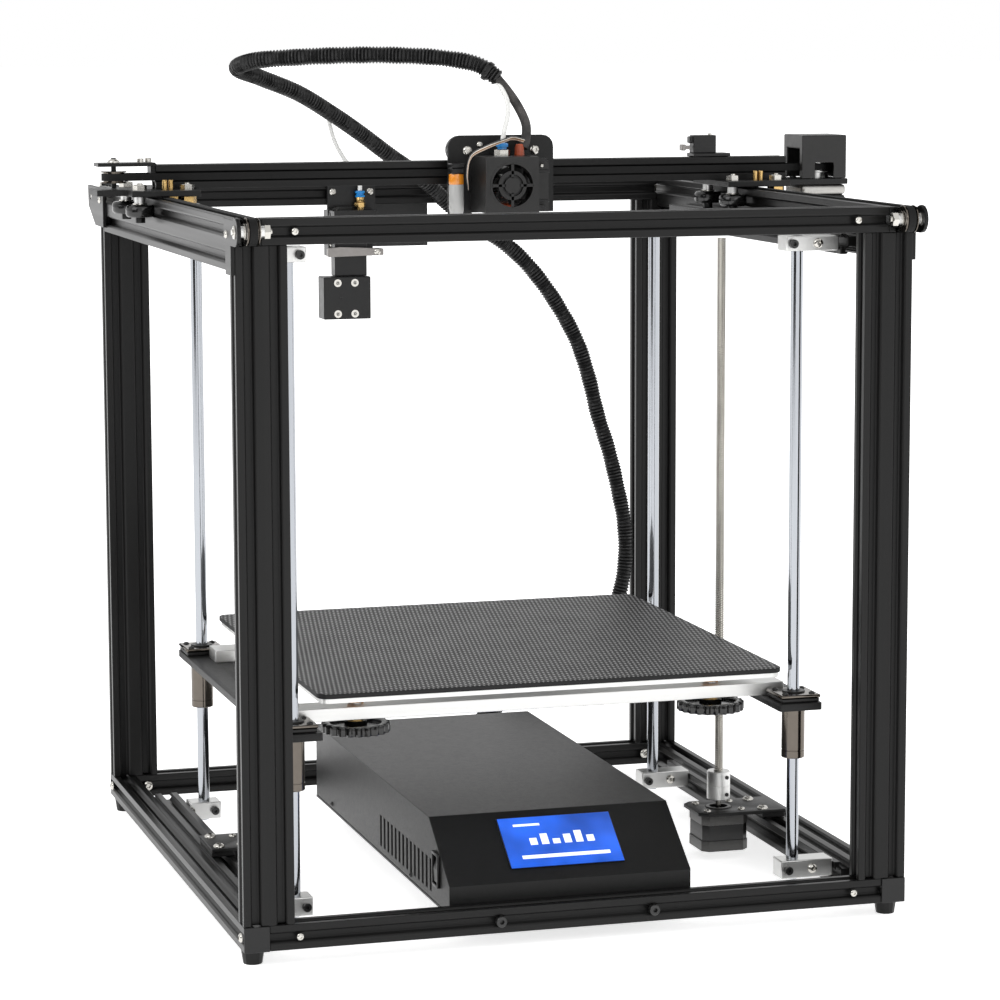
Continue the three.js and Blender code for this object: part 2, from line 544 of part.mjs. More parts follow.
function addLoom() {
  const curve = new THREE.CatmullRomCurve3(LOOM.map((point) => new THREE.Vector3(...point)), false, 'centripetal');
  const section = new THREE.Shape().absarc(0, 0, 7.5, 0, 2 * Math.PI, false);
  const tube = new THREE.ExtrudeGeometry(section, { steps: 46, curveSegments: 4, bevelEnabled: false, extrudePath: curve });
  add('cable_loom', shell(solid(tube)), PAINT.rubber);
}

addPosts();
addBase();
addTop();
addGuideRods();
addLiftDrives();
addBed();
addControlBox();
addControls();
addGantry();
addWheels();
addYDrive();
addExtruder();
addHead();
addLoom();

// The origin is under the middle of the footprint, without the loom.
printer.position.set(-CENTRE.x, -CENTRE.y, 0);
export default printer;
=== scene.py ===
"""A large open-frame filament printer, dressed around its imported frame.

Lengths are millimetres measured from the middle of the frame at floor level, and become metres in
the row frame when a mesh is made.
"""
from __future__ import annotations

import json
import logging
import math
from collections.abc import Callable, Iterable, Sequence
from dataclasses import dataclass, field
from enum import Enum

import bmesh
import bpy
from mathutils import Matrix, Vector

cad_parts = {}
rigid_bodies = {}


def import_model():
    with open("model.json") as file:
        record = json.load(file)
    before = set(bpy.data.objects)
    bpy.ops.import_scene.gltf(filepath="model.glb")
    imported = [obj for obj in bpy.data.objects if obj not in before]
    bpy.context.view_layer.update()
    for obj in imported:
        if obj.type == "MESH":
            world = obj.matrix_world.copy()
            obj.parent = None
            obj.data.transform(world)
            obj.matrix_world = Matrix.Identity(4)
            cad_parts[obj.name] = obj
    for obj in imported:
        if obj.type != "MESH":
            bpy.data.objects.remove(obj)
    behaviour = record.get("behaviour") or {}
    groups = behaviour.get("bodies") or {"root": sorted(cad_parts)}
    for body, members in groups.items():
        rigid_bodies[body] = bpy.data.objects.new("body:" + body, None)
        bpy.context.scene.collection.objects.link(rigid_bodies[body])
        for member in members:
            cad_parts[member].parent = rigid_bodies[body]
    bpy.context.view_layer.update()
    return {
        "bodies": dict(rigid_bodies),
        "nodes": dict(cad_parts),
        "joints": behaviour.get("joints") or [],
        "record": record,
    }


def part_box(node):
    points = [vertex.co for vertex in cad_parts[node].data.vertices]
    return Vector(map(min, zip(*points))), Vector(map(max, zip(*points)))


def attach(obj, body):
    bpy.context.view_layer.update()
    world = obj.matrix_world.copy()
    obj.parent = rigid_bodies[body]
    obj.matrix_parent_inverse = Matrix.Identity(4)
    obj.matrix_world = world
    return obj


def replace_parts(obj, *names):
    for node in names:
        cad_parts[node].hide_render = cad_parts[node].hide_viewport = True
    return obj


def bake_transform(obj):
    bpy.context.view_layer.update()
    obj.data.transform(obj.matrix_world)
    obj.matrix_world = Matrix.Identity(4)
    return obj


LOG = logging.getLogger("printer")
MM = 0.001

Triple = tuple[float, float, float]
Pair = tuple[float, float]


class Axis(Enum):
    """A direction that a piece is turned, drawn or extruded along."""

    X = 0
    Y = 1
    Z = 2


class Spot:
    """Turns millimetres from the frame's middle into metres in the row frame."""

    middle: Vector = Vector((0.0, 0.0, 0.0))

    @classmethod
    def find(cls) -> None:
        """Finds the frame's middle between its four posts."""
        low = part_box("post_front_left")[0]
        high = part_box("post_rear_right")[1]
        cls.middle = Vector(((low[0] + high[0]) / 2, (low[1] + high[1]) / 2, 0.0))

    @classmethod
    def at(cls, x: float, y: float, z: float) -> Vector:
        """Gives a place in the row frame.

        Args:
            x: Millimetres to the machine's right.
            y: Millimetres to its rear.
            z: Millimetres above the floor.

        Returns:
            The place in metres.
        """
        return cls.middle + Vector((x, y, z)) * MM


@dataclass(frozen=True)
class Box:
    """A node's box in millimetres from the frame's middle."""

    x0: float
    y0: float
    z0: float
    x1: float
    y1: float
    z1: float

    @classmethod
    def of(cls, node: str) -> "Box":
        """Reads a node's box from the frame."""
        low, high = (((Vector(corner) - Spot.middle) / MM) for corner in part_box(node))
        return cls(*low, *high)

    @property
    def x(self) -> float:
        """The middle along X."""
        return (self.x0 + self.x1) / 2

    @property
    def y(self) -> float:
        """The middle along Y."""
        return (self.y0 + self.y1) / 2

    @property
    def z(self) -> float:
        """The middle along Z."""
        return (self.z0 + self.z1) / 2


# ---------------------------------------------------------------- finishes


@dataclass(frozen=True)
class Finish:
    """One surface finish, with its fine variation worked out from noise.

    The grain is stretched by `stretch`, so drawn or milled metal shows lines.
    """

    name: str
    color: Triple
    roughness: float = 0.5
    metallic: float = 0.0
    specular: float = 0.5
    grain: float = 900.0
    stretch: Triple = (1.0, 1.0, 1.0)
    tint: float = 0.12
    spread: float = 0.08
    bump: float = 0.05
    coat: float = 0.0
    glow: float = 0.0
    see_through: float = 0.0

    def build(self) -> bpy.types.Material:
        """Makes the material, or gives the one made before.

        Returns:
            The material.
        """
        made = bpy.data.materials.get(self.name)
        if made is not None:
            return made
        made = bpy.data.materials.new(self.name)
        made.use_nodes = True
        nodes, links = made.node_tree.nodes, made.node_tree.links
        shader = nodes["Principled BSDF"]
        shader.inputs["Metallic"].default_value = self.metallic
        shader.inputs["Specular IOR Level"].default_value = self.specular
        shader.inputs["Coat Weight"].default_value = self.coat
        shader.inputs["Coat Roughness"].default_value = 0.12
        shader.inputs["Transmission Weight"].default_value = self.see_through
        if self.glow:
            shader.inputs["Emission Color"].default_value = (*self.color, 1.0)
            shader.inputs["Emission Strength"].default_value = self.glow
        place = nodes.new("ShaderNodeTexCoord")
        mapping = nodes.new("ShaderNodeMapping")
        mapping.inputs["Scale"].default_value = self.stretch
        links.new(place.outputs["Object"], mapping.inputs["Vector"])
        fine = self.noise(nodes, links, mapping, self.grain, 4.0)
        broad = self.noise(nodes, links, mapping, self.grain / 14, 2.0)
        ramp = nodes.new("ShaderNodeValToRGB")
        for stop, shade in zip(ramp.color_ramp.elements, (1 - self.tint, 1 + self.tint)):
            stop.color = (*(min(1.0, part * shade) for part in self.color), 1.0)
        ramp.color_ramp.elements[0].position = 0.3
        ramp.color_ramp.elements[1].position = 0.7
        links.new(broad.outputs["Fac"], ramp.inputs["Fac"])
        links.new(ramp.outputs["Color"], shader.inputs["Base Color"])
        rough = nodes.new("ShaderNodeMapRange")
        rough.inputs["To Min"].default_value = max(0.02, self.roughness - self.spread)
        rough.inputs["To Max"].default_value = min(1.0, self.roughness + self.spread)
        links.new(broad.outputs["Fac"], rough.inputs["Value"])
        links.new(rough.outputs["Result"], shader.inputs["Roughness"])
        bump = nodes.new("ShaderNodeBump")
        bump.inputs["Strength"].default_value = self.bump
        bump.inputs["Distance"].default_value = 0.0004
        links.new(fine.outputs["Fac"], bump.inputs["Height"])
        links.new(bump.outputs["Normal"], shader.inputs["Normal"])
        return made

    @staticmethod
    def noise(nodes: bpy.types.Nodes, links: bpy.types.NodeLinks, mapping: bpy.types.Node,
              scale: float, detail: float) -> bpy.types.Node:
        """Adds one noise texture on the mapped coordinates.

        Args:
            nodes: The material's nodes.
            links: The material's links.
            mapping: The node that gives the coordinates.
            scale: How fine the noise is, in cells to the metre.
            detail: Its number of octaves.

        Returns:
            The texture node.
        """
        texture = nodes.new("ShaderNodeTexNoise")
        texture.inputs["Scale"].default_value = scale
        texture.inputs["Detail"].default_value = detail
        links.new(mapping.outputs["Vector"], texture.inputs["Vector"])
        return texture


def drawn(axis: Axis) -> Triple:
    """Gives the stretch of a grain drawn out along an axis."""
    return tuple(0.02 if which is axis else 1.0 for which in Axis)


ANODISED = {
    axis: Finish(f"black_anodised_{axis.name.lower()}", (0.0060, 0.0059, 0.0058), 0.34, 0.0, 0.22,
                 grain=1400, stretch=drawn(axis), tint=0.2, spread=0.07, bump=0.12)
    for axis in Axis
}
SHEET = Finish("powder_coated_steel", (0.008, 0.008, 0.008), 0.42, 0.0, 0.26, grain=2600, tint=0.1,
               spread=0.05, bump=0.22)
BOX_PAINT = Finish("control_box_powder_coat", (0.007, 0.007, 0.007), 0.38, 0.0, 0.24, grain=3200, tint=0.1,
                   spread=0.05, bump=0.25)
PLASTIC = Finish("moulded_black_plastic", (0.006, 0.006, 0.0062), 0.34, specular=0.35, grain=1800, tint=0.1,
                 bump=0.12)
SHROUD = Finish("satin_black_shroud", (0.0135, 0.0132, 0.013), 0.36, specular=0.34, grain=2400, tint=0.1,
                bump=0.08)
RUBBER = Finish("black_rubber", (0.006, 0.006, 0.006), 0.7, specular=0.22, grain=1500, bump=0.2)
MILLED = Finish("milled_aluminium", (0.66, 0.66, 0.65), 0.36, 1.0, grain=1600, stretch=drawn(Axis.X),
                tint=0.07,
                spread=0.08, bump=0.10)
CHROME = Finish("ground_chrome", (0.36, 0.375, 0.40), 0.09, 1.0, grain=2500, stretch=drawn(Axis.Z),
                tint=0.03,
                spread=0.03, bump=0.02)
STEEL = Finish("bright_screw_steel", (0.56, 0.545, 0.51), 0.2, 1.0, grain=900, tint=0.05, spread=0.03,
               bump=0.005)
NICKEL = Finish("nickelled_bearing_steel", (0.125, 0.11, 0.095), 0.12, 1.0, grain=2000, tint=0.05,
                spread=0.05,
                bump=0.03)
BLACK_STEEL = Finish("blackened_screw_steel", (0.012, 0.012, 0.012), 0.3, 0.0, grain=2500, bump=0.06)
BRASS = Finish("turned_brass", (0.62, 0.42, 0.17), 0.24, 1.0, grain=2200, tint=0.08, bump=0.04)
MOTOR_BLACK = Finish("motor_lamination_black", (0.004, 0.004, 0.004), 0.42, 0.0, grain=4000,
                     stretch=(0.05, 0.05, 1.0), tint=0.3, bump=0.25)
MOTOR_CAP = Finish("cast_motor_cap", (0.42, 0.41, 0.39), 0.42, 1.0, grain=2600, tint=0.08, bump=0.2)
BLUE = Finish("blue_collet_plastic", (0.01, 0.22, 0.58), 0.3, grain=1500, tint=0.1)
RED = Finish("orange_silicone", (0.42, 0.065, 0.015), 0.35, grain=700, tint=0.4, bump=0.08)
PTFE = Finish("white_feed_tube", (0.80, 0.80, 0.78), 0.35, grain=900, tint=0.02, bump=0.0)
KNOB = Finish("glossy_knob_plastic", (0.006, 0.006, 0.006), 0.16, specular=0.55, grain=1600, tint=0.1,
              bump=0.03)
PROBE_BODY = Finish("clear_probe_plastic", (0.50, 0.50, 0.49), 0.3, specular=0.6, grain=900, tint=0.05,
                    see_through=0.25)
AMBER = Finish("amber_probe_band", (0.50, 0.17, 0.012), 0.18, specular=0.7, grain=260, tint=0.6, bump=0.05,
               coat=0.4)
LOOM = Finish("corrugated_loom_plastic", (0.007, 0.007, 0.0072), 0.36, specular=0.4, grain=1400, tint=0.12,
              bump=0.04)
MOTOR_GREY = Finish("cast_motor_grey", (0.055, 0.054, 0.052), 0.4, 0.3, grain=2400, tint=0.1, bump=0.1)
BRAID = Finish("braided_sleeve_fibre", (0.030, 0.027, 0.026), 0.55, grain=1500, tint=1.0, spread=0.1,
               bump=0.4)
TAPE = Finish("orange_film_tape", (0.72, 0.30, 0.03), 0.25, grain=500, tint=0.15, coat=0.5)
PALE_METAL = Finish("bead_blasted_aluminium", (0.78, 0.78, 0.77), 0.5, 0.7, grain=1800, tint=0.04, bump=0.08)
GREY_METAL = Finish("grey_die_casting", (0.27, 0.255, 0.245), 0.4, 0.85, grain=1500, tint=0.08, bump=0.18)


class DottedGlass:
    """The bed's black glass, with its fine grid of pale dots."""

    across = 3.75
    along = 19.0
    dot = 0.27

    def build(self) -> bpy.types.Material:
        """Makes the glass material.

        Returns:
            The material.
        """
        base = Finish("dotted_black_glass", (0.018, 0.018, 0.0185), 0.5, specular=0.12, grain=600,
                      tint=0.05, bump=0.02)
        made = base.build()
        nodes, links = made.node_tree.nodes, made.node_tree.links
        shader = nodes["Principled BSDF"]
        place = next(node for node in nodes if node.type == "TEX_COORD")
        stretch = nodes.new("ShaderNodeMapping")
        stretch.inputs["Scale"].default_value = (1 / self.across, 1 / self.along, 1.0)
        links.new(place.outputs["Object"], stretch.inputs["Vector"])
        turn = nodes.new("ShaderNodeMapping")
        turn.inputs["Rotation"].default_value = (0.0, 0.0, math.radians(45))
        turn.inputs["Scale"].default_value = (math.sqrt(2) / MM,) * 3
        links.new(stretch.outputs["Vector"], turn.inputs["Vector"])
        wrap = nodes.new("ShaderNodeVectorMath")
        wrap.operation = "FRACTION"
        links.new(turn.outputs["Vector"], wrap.inputs[0])
        centre = nodes.new("ShaderNodeVectorMath")
        centre.operation = "SUBTRACT"
        centre.inputs[1].default_value = (0.5, 0.5, 0.5)
        links.new(wrap.outputs["Vector"], centre.inputs[0])
        flat = nodes.new("ShaderNodeVectorMath")
        flat.operation = "MULTIPLY"
        flat.inputs[1].default_value = (1.0, 1.0, 0.0)
        links.new(centre.outputs["Vector"], flat.inputs[0])
        away = nodes.new("ShaderNodeVectorMath")
        away.operation = "LENGTH"
        links.new(flat.outputs["Vector"], away.inputs[0])
        edge = nodes.new("ShaderNodeMapRange")
        edge.interpolation_type = "SMOOTHSTEP"
        edge.inputs["From Min"].default_value = self.dot - 0.1
        edge.inputs["From Max"].default_value = self.dot + 0.1
        edge.inputs["To Min"].default_value = 1.0
        edge.inputs["To Max"].default_value = 0.0
        links.new(away.outputs["Value"], edge.inputs["Value"])
        mix = nodes.new("ShaderNodeMix")
        mix.data_type = "RGBA"
        glass_tone = next(node for node in nodes if node.type == "VALTORGB")
        faces = nodes.new("ShaderNodeNewGeometry")
        split = nodes.new("ShaderNodeSeparateXYZ")
        links.new(faces.outputs["Normal"], split.inputs["Vector"])
        level = nodes.new("ShaderNodeMath")
        level.operation = "GREATER_THAN"
        level.inputs[1].default_value = 0.9
        links.new(split.outputs["Z"], level.inputs[0])
        shown = nodes.new("ShaderNodeMath")
        shown.operation = "MULTIPLY"
        links.new(edge.outputs["Result"], shown.inputs[0])
        links.new(level.outputs["Value"], shown.inputs[1])
        links.new(shown.outputs["Value"], mix.inputs["Factor"])
        links.new(glass_tone.outputs["Color"], mix.inputs["A"])
        mix.inputs["B"].default_value = (0.33, 0.33, 0.33, 1.0)
        links.new(mix.outputs["Result"], shader.inputs["Base Color"])
        return made


# ---------------------------------------------------------------- making pieces


class Bench:
    """Makes meshes and curves, and gives each its finish and its body."""

    @staticmethod
    def settle(piece: bpy.types.Object, finish: Finish | bpy.types.Material, body: str,
               slot: str) -> bpy.types.Object:
        """Dresses a new piece and lets it ride on its body.

        Args:
            piece: The new object.
            finish: Its finish, or a material that is already built.
            body: The CAD body that carries it.
            slot: The record's material slot; not used.

        Returns:
            The same object.
        """
        if not piece.data.materials:
            piece.data.materials.append(finish.build() if isinstance(finish, Finish) else finish)
        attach(piece, body)
        LOG.info("%s rides on %s", piece.name, body)
        return piece

    @staticmethod
    def mesh(name: str, cage: bmesh.types.BMesh, smooth: bool = True) -> bpy.types.Object:
        """Makes an object from a cage whose corners are already in the row frame.

        Args:
            name: The piece's name.
            cage: The mesh, which is freed.
            smooth: Whether faces are shaded smooth up to 35 degrees.

        Returns:
            The object, linked to the scene.
        """
        bmesh.ops.recalc_face_normals(cage, faces=cage.faces)
        data = bpy.data.meshes.new(name)
        cage.to_mesh(data)
        cage.free()
        if smooth:
            data.shade_smooth()
            data.set_sharp_from_angle(angle=math.radians(35))
        piece = bpy.data.objects.new(name, data)
        bpy.context.collection.objects.link(piece)
        return piece

    @staticmethod
    def bevel(piece: bpy.types.Object, width: float, segments: int = 2,
              angle: float = 40) -> bpy.types.Object:
        """Adds a live bevel on the sharp edges.

        Args:
            piece: The object.
            width: The bevel's width in millimetres.
            segments: How many steps round it.
            angle: The least edge angle that is bevelled, in degrees.

        Returns:
            The same object.
        """
        rounding = piece.modifiers.new("rounded_edges", "BEVEL")
        rounding.width = width * MM
        rounding.segments = segments
        rounding.limit_method = "ANGLE"
        rounding.angle_limit = math.radians(angle)
        rounding.harden_normals = False
        return piece

    @staticmethod
    def blocks(name: str, boxes: Iterable[Sequence[float]], width: float = 0.6) -> bpy.types.Object:
        """Makes rounded blocks in one mesh.

        Args:
            name: The piece's name.
            boxes: Each block as x0, x1, y0, y1, z0, z1 in millimetres.
            width: The rounding of the edges in millimetres.

        Returns:
            The object.
        """
        cage = bmesh.new()
        for x0, x1, y0, y1, z0, z1 in boxes:
            size = Matrix.Diagonal(((x1 - x0) * MM, (y1 - y0) * MM, (z1 - z0) * MM, 1.0))
            place = Matrix.Translation(Spot.at((x0 + x1) / 2, (y0 + y1) / 2, (z0 + z1) / 2))
            bmesh.ops.create_cube(cage, size=1.0, matrix=place @ size)
        return Bench.bevel(Bench.mesh(name, cage), width)

    @staticmethod
    def stand(axis: Axis) -> Matrix:
        """Gives the turn that stands local Z along an axis, with u and v along the other two."""
        if axis is Axis.X:
            return Matrix(((0, 0, 1, 0), (1, 0, 0, 0), (0, 1, 0, 0), (0, 0, 0, 1)))
        if axis is Axis.Y:
            return Matrix(((1, 0, 0, 0), (0, 0, 1, 0), (0, 1, 0, 0), (0, 0, 0, 1)))
        return Matrix.Identity(4)

    @staticmethod
    def cut_sheet(name: str, outline: Sequence[Pair], axis: Axis, low: float, high: float,
                  holes: Iterable[Sequence[Pair]] = (), rounding: float = 0.3) -> bpy.types.Object:
        """Cuts a plate with holes from an outline and stands it along an axis.

        Args:
            name: The piece's name.
            outline: The outline's corners as (u, v) in millimetres.
            axis: The direction of the plate's thickness.
            low: Where its thickness starts, in millimetres.
            high: Where its thickness ends.
            holes: Closed outlines of its holes.
            rounding: The rounding of its edges.

        Returns:
            The object, as a mesh in the row frame.
        """
        curve = bpy.data.curves.new(name, "CURVE")
        curve.dimensions = "2D"
        curve.fill_mode = "BOTH"
        curve.extrude = ((high - low) / 2 - rounding) * MM
        curve.bevel_depth = rounding * MM
        curve.bevel_resolution = 1
        curve.offset = -rounding * MM
        for corners in (outline, *holes):
            spline = curve.splines.new("POLY")
            spline.points.add(len(corners) - 1)
            for point, (u, v) in zip(spline.points, corners):
                point.co = (u * MM, v * MM, 0.0, 1.0)
            spline.use_cyclic_u = True
        drawing = bpy.data.objects.new(name, curve)
        bpy.context.collection.objects.link(drawing)
        graph = bpy.context.evaluated_depsgraph_get()
        data = bpy.data.meshes.new_from_object(drawing.evaluated_get(graph))
        bpy.data.objects.remove(drawing)
        bpy.data.curves.remove(curve)
        cage = bmesh.new()
        cage.from_mesh(data)
        bpy.data.meshes.remove(data)
        bmesh.ops.remove_doubles(cage, verts=cage.verts, dist=1e-6)
        along = [0.0, 0.0, 0.0]
        along[axis.value] = (low + high) / 2
        bmesh.ops.transform(cage, matrix=Matrix.Translation(Spot.at(*along)) @ Bench.stand(axis),
                            verts=cage.verts)
        return Bench.mesh(name, cage)

    @staticmethod
    def turned(name: str, profile: Sequence[Pair], axis: Axis, centre: Triple, steps: int = 40,
               segments: int = 0) -> bpy.types.Object:
        """Turns a profile about an axis with a Screw modifier, then applies it and sets the piece in place.

        Args:
            name: The piece's name.
            profile: Points as (radius, height) in millimetres, from top to bottom.
            axis: The direction of the turned axis.
            centre: Where height nought lies, in millimetres.
            steps: The steps round a full turn.
            segments: Steps of a bevel on the profile's corners, or none.

        Returns:
            The object.
        """
        data = bpy.data.meshes.new(name)
        points = [(radius * MM, 0.0, height * MM) for radius, height in profile]
        data.from_pydata(points, [(i, i + 1) for i in range(len(points) - 1)], [])
        piece = bpy.data.objects.new(name, data)
        bpy.context.collection.objects.link(piece)
        turn = piece.modifiers.new("turn", "SCREW")
        turn.steps = turn.render_steps = steps
        turn.use_merge_vertices = True
        turn.merge_threshold = 1e-6
        if segments:
            Bench.bevel(piece, 0.4, segments, 30)
        graph = bpy.context.evaluated_depsgraph_get()
        finished = bpy.data.meshes.new_from_object(piece.evaluated_get(graph))
        bpy.data.objects.remove(piece)
        bpy.data.meshes.remove(data)
        cage = bmesh.new()
        cage.from_mesh(finished)
        bpy.data.meshes.remove(finished)
        bmesh.ops.remove_doubles(cage, verts=cage.verts, dist=1e-6)
        bmesh.ops.transform(cage, matrix=Matrix.Translation(Spot.at(*centre)) @ Bench.stand(axis),
                            verts=cage.verts)
        return Bench.mesh(name, cage)

    @staticmethod
    def wire(name: str, points: Sequence[Triple], radius: float, smooth: bool = True,
             sides: int = 3) -> bpy.types.Object:
        """Runs a round wire or tube through points given in millimetres.

        Args:
            name: The piece's name.
            points: The points of its centreline.
            radius: Its radius in millimetres.
            smooth: Whether it runs in a smooth curve or in straight stretches.
            sides: The bevel resolution of its section.

        Returns:
            The curve object.
        """
        curve = bpy.data.curves.new(name, "CURVE")
        curve.dimensions = "3D"
        curve.bevel_depth = radius * MM
        curve.bevel_resolution = sides
        curve.use_fill_caps = True
        places = [Spot.at(*point) for point in points]
        if smooth:
            curve.resolution_u = curve.render_resolution_u = 6
            spline = curve.splines.new("BEZIER")
            spline.bezier_points.add(len(places) - 1)
            for knot, place in zip(spline.bezier_points, places):
                knot.co = place
                knot.handle_left_type = knot.handle_right_type = "AUTO"
        else:
            spline = curve.splines.new("POLY")
            spline.points.add(len(places) - 1)
            for knot, place in zip(spline.points, places):
                knot.co = (*place, 1.0)
        piece = bpy.data.objects.new(name, curve)
        bpy.context.collection.objects.link(piece)
        return piece

    @staticmethod
    def dress(node: str, finish: Finish, rounding: float = 0.0) -> None:
        """Gives a CAD node its finish, and rounds its edges with live modifiers.

        Args:
            node: The node's name.
            finish: The finish.
            rounding: The bevel's width in millimetres, or none.
        """
        piece = FRAME["nodes"][node]
        piece.data.materials.clear()
        piece.data.materials.append(finish.build())
        if rounding:
            weld = piece.modifiers.new("welded", "WELD")
            weld.merge_threshold = 1e-5
            Bench.bevel(piece, rounding, 2, 35)


def circle(u: float, v: float, radius: float, count: int = 24) -> list[Pair]:
    """Gives the corners of a round hole."""
    return [(u + radius * math.cos(2 * math.pi * i / count), v + radius * math.sin(2 * math.pi * i / count))
            for i in range(count)]


def rounded(u0: float, u1: float, v0: float, v1: float, radius: float, steps: int = 5) -> list[Pair]:
    """Gives the outline of a rectangle with round corners."""
    points = []
    for cu, cv, start in ((u1 - radius, v0 + radius, -90), (u1 - radius, v1 - radius, 0),
                          (u0 + radius, v1 - radius, 90), (u0 + radius, v0 + radius, 180)):
        for step in range(steps + 1):
            angle = math.radians(start + 90 * step / steps)
            points.append((cu + radius * math.cos(angle), cv + radius * math.sin(angle)))
    return points


class Head(Enum):
    """A screw head's or nut's form: its radius, height and socket as parts of the thread's size."""

    BUTTON = "button"
    CAP = "cap"
    NUT = "nut"
    WASHER = "washer"


@dataclass
class Fasteners:
    """Collects screw heads and nuts of one finish on one body, and makes them in one mesh."""

    name: str
    body: str
    finish: Finish
    slot: str = "bright_aluminium"
    sides: int = 24
    cage: bmesh.types.BMesh = field(default_factory=bmesh.new)

    def add(self, form: Head, place: Triple, facing: Triple, size: float = 5.0) -> "Fasteners":
        """Adds one head.

        Args:
            form: The head's form.
            place: The middle of its seat, in millimetres.
            facing: The direction it faces.
            size: The thread's size in millimetres.

        Returns:
            This collection.
        """
        flat = self.hexagon(size * 0.36)
        rings: list[tuple[float, Callable[[float], float]]]
        if form is Head.BUTTON:
            reach, tall = size * 0.95, size * 0.55
            rings = [(0, lambda a: reach), (tall * 0.3, lambda a: reach * 0.98),
                     (tall * 0.62, lambda a: reach * 0.86),
                     (tall * 0.88, lambda a: reach * 0.64), (tall, lambda a: reach * 0.46), (tall, flat),
                     (tall * 0.35, flat)]
        elif form is Head.CAP:
            reach, tall = size * 0.85, size * 0.95
            rings = [(0, lambda a: reach), (tall * 0.9, lambda a: reach), (tall, lambda a: reach * 0.9),
                     (tall, flat),
                     (tall * 0.4, flat)]
        elif form is Head.NUT:
            across = self.hexagon(size * 0.92)
            tall = size * 0.85
            rings = [(0, across), (tall * 0.9, across), (tall, lambda a: size * 0.8),
                     (tall, lambda a: size * 0.42),
                     (tall + 1.2, lambda a: size * 0.4)]
        else:
            rings = [(0, lambda a: size), (size * 0.16, lambda a: size),
                     (size * 0.16, lambda a: size * 0.55),
                     (size * 0.1, lambda a: size * 0.5)]
        turn = Vector(facing).to_track_quat("Z", "Y").to_matrix().to_4x4()
        whole = Matrix.Translation(Spot.at(*place)) @ turn
        loops = []
        for height, reach_at in rings:
            loop = []
            for step in range(self.sides):
                angle = 2 * math.pi * step / self.sides
                radius = reach_at(angle)
                corner = Vector((radius * math.cos(angle), radius * math.sin(angle), height)) * MM
                loop.append(self.cage.verts.new(whole @ corner))
            loops.append(loop)
        for lower, upper in zip(loops, loops[1:]):
            for step in range(self.sides):
                following = (step + 1) % self.sides
                self.cage.faces.new((lower[step], lower[following], upper[following], upper[step]))
        self.cage.faces.new(loops[-1])
        self.cage.faces.new(reversed(loops[0]))
        return self

    @staticmethod
    def hexagon(apothem: float) -> Callable[[float], float]:
        """Gives a hexagon's radius at an angle."""
        sector = math.pi / 3
        return lambda angle: apothem / math.cos((angle % sector) - sector / 2)

    def make(self) -> bpy.types.Object:
        """Makes the collected heads into one piece.

        Returns:
            The piece.
        """
        return Bench.settle(Bench.mesh(self.name, self.cage), self.finish, self.body, self.slot)


# ---------------------------------------------------------------- the frame

FRAME: dict = {}


@dataclass
class FrameDress:
    """The slotted rails, their corner plates, feet and screws."""

    rail: float = 20.0
    width: float = 544.0
    depth: float = 580.0
    floor: float = 12.0
    posts: tuple[str, ...] = ("post_front_left", "post_front_right", "post_rear_left", "post_rear_right")

    def build(self) -> None:
        """Dresses every rail and adds its hardware."""
        for node in self.posts:
            Bench.dress(node, ANODISED[Axis.Z], 0.7)
        for node in ("base_rail_front", "base_rail_rear", "top_rail_front", "top_rail_rear"):
            Bench.dress(node, ANODISED[Axis.X], 0.7)
        for node in ("base_rail_left", "base_rail_right", "y_rail_left", "y_rail_right"):
            Bench.dress(node, ANODISED[Axis.Y], 0.7)
        self.screws()
        self.end_caps()

    def screws(self) -> None:
        """Adds the corner screws, the cross bolts and the plate screws."""
        bright = Fasteners("frame_screws", "root", STEEL)
        dark = Fasteners("frame_cap_screws", "root", BLACK_STEEL, "black_sheet")
        half_w, half_d, rail = self.width / 2, self.depth / 2, self.rail
        top = self.floor + 560
        for side in (-1, 1):
            face = side * (half_w + 3)
            bright.add(Head.BUTTON, (side * half_w, -half_d + 8, top - 33), (side, 0, 0), 3.0)
            for end in (-1, 1):
                bright.add(Head.BUTTON, (face, end * (half_d - 16), top - 12), (side, 0, 0), 3.2)
                bright.add(Head.BUTTON, (side * half_w, end * (half_d - 10), self.floor + 10), (side, 0, 0),
                           4.0)
            bright.add(Head.BUTTON, (side * (half_w - 44), -half_d, self.floor + 10), (0, -1, 0), 3.2)
            bright.add(Head.BUTTON, (side * (half_w - 46), -half_d, top - 10), (0, -1, 0), 3.2)
            bright.add(Head.BUTTON, (side * (half_w - 31), half_d - rail, self.floor + 10), (0, -1, 0), 5.0)
            dark.add(Head.CAP, (side * 63 - 5, -half_d, self.floor + 10), (0, -1, 0), 5.0)
        bright.make()
        dark.make()

    def end_caps(self) -> None:
        """Adds the plain end caps of the side rails."""
        cage, low = [], self.floor
        for side in (-1, 1):
            inner, outer = side * (self.width / 2 - self.rail), side * self.width / 2
            for end in (-1, 1):
                face = end * self.depth / 2
                cage.append((min(inner, outer), max(inner, outer), min(face, face + end * 1.2),
                             max(face, face + end * 1.2),
                             low, low + self.rail))
        Bench.settle(Bench.blocks("side_rail_end_caps", cage, 0.5), PLASTIC, "root", "black_plastic")


@dataclass(frozen=True)
class LiftLayout:
    """Where the rods, screws and bearings of the lift stand."""

    middle: float = -8.8
    half: float = 208.8
    row_low: float = -225.0
    row_high: float = 127.0

    def rod_x(self, left: bool) -> float:
        """Gives a side's rod place along X."""
        return self.middle - self.half if left else self.middle + self.half


LIFT = LiftLayout()


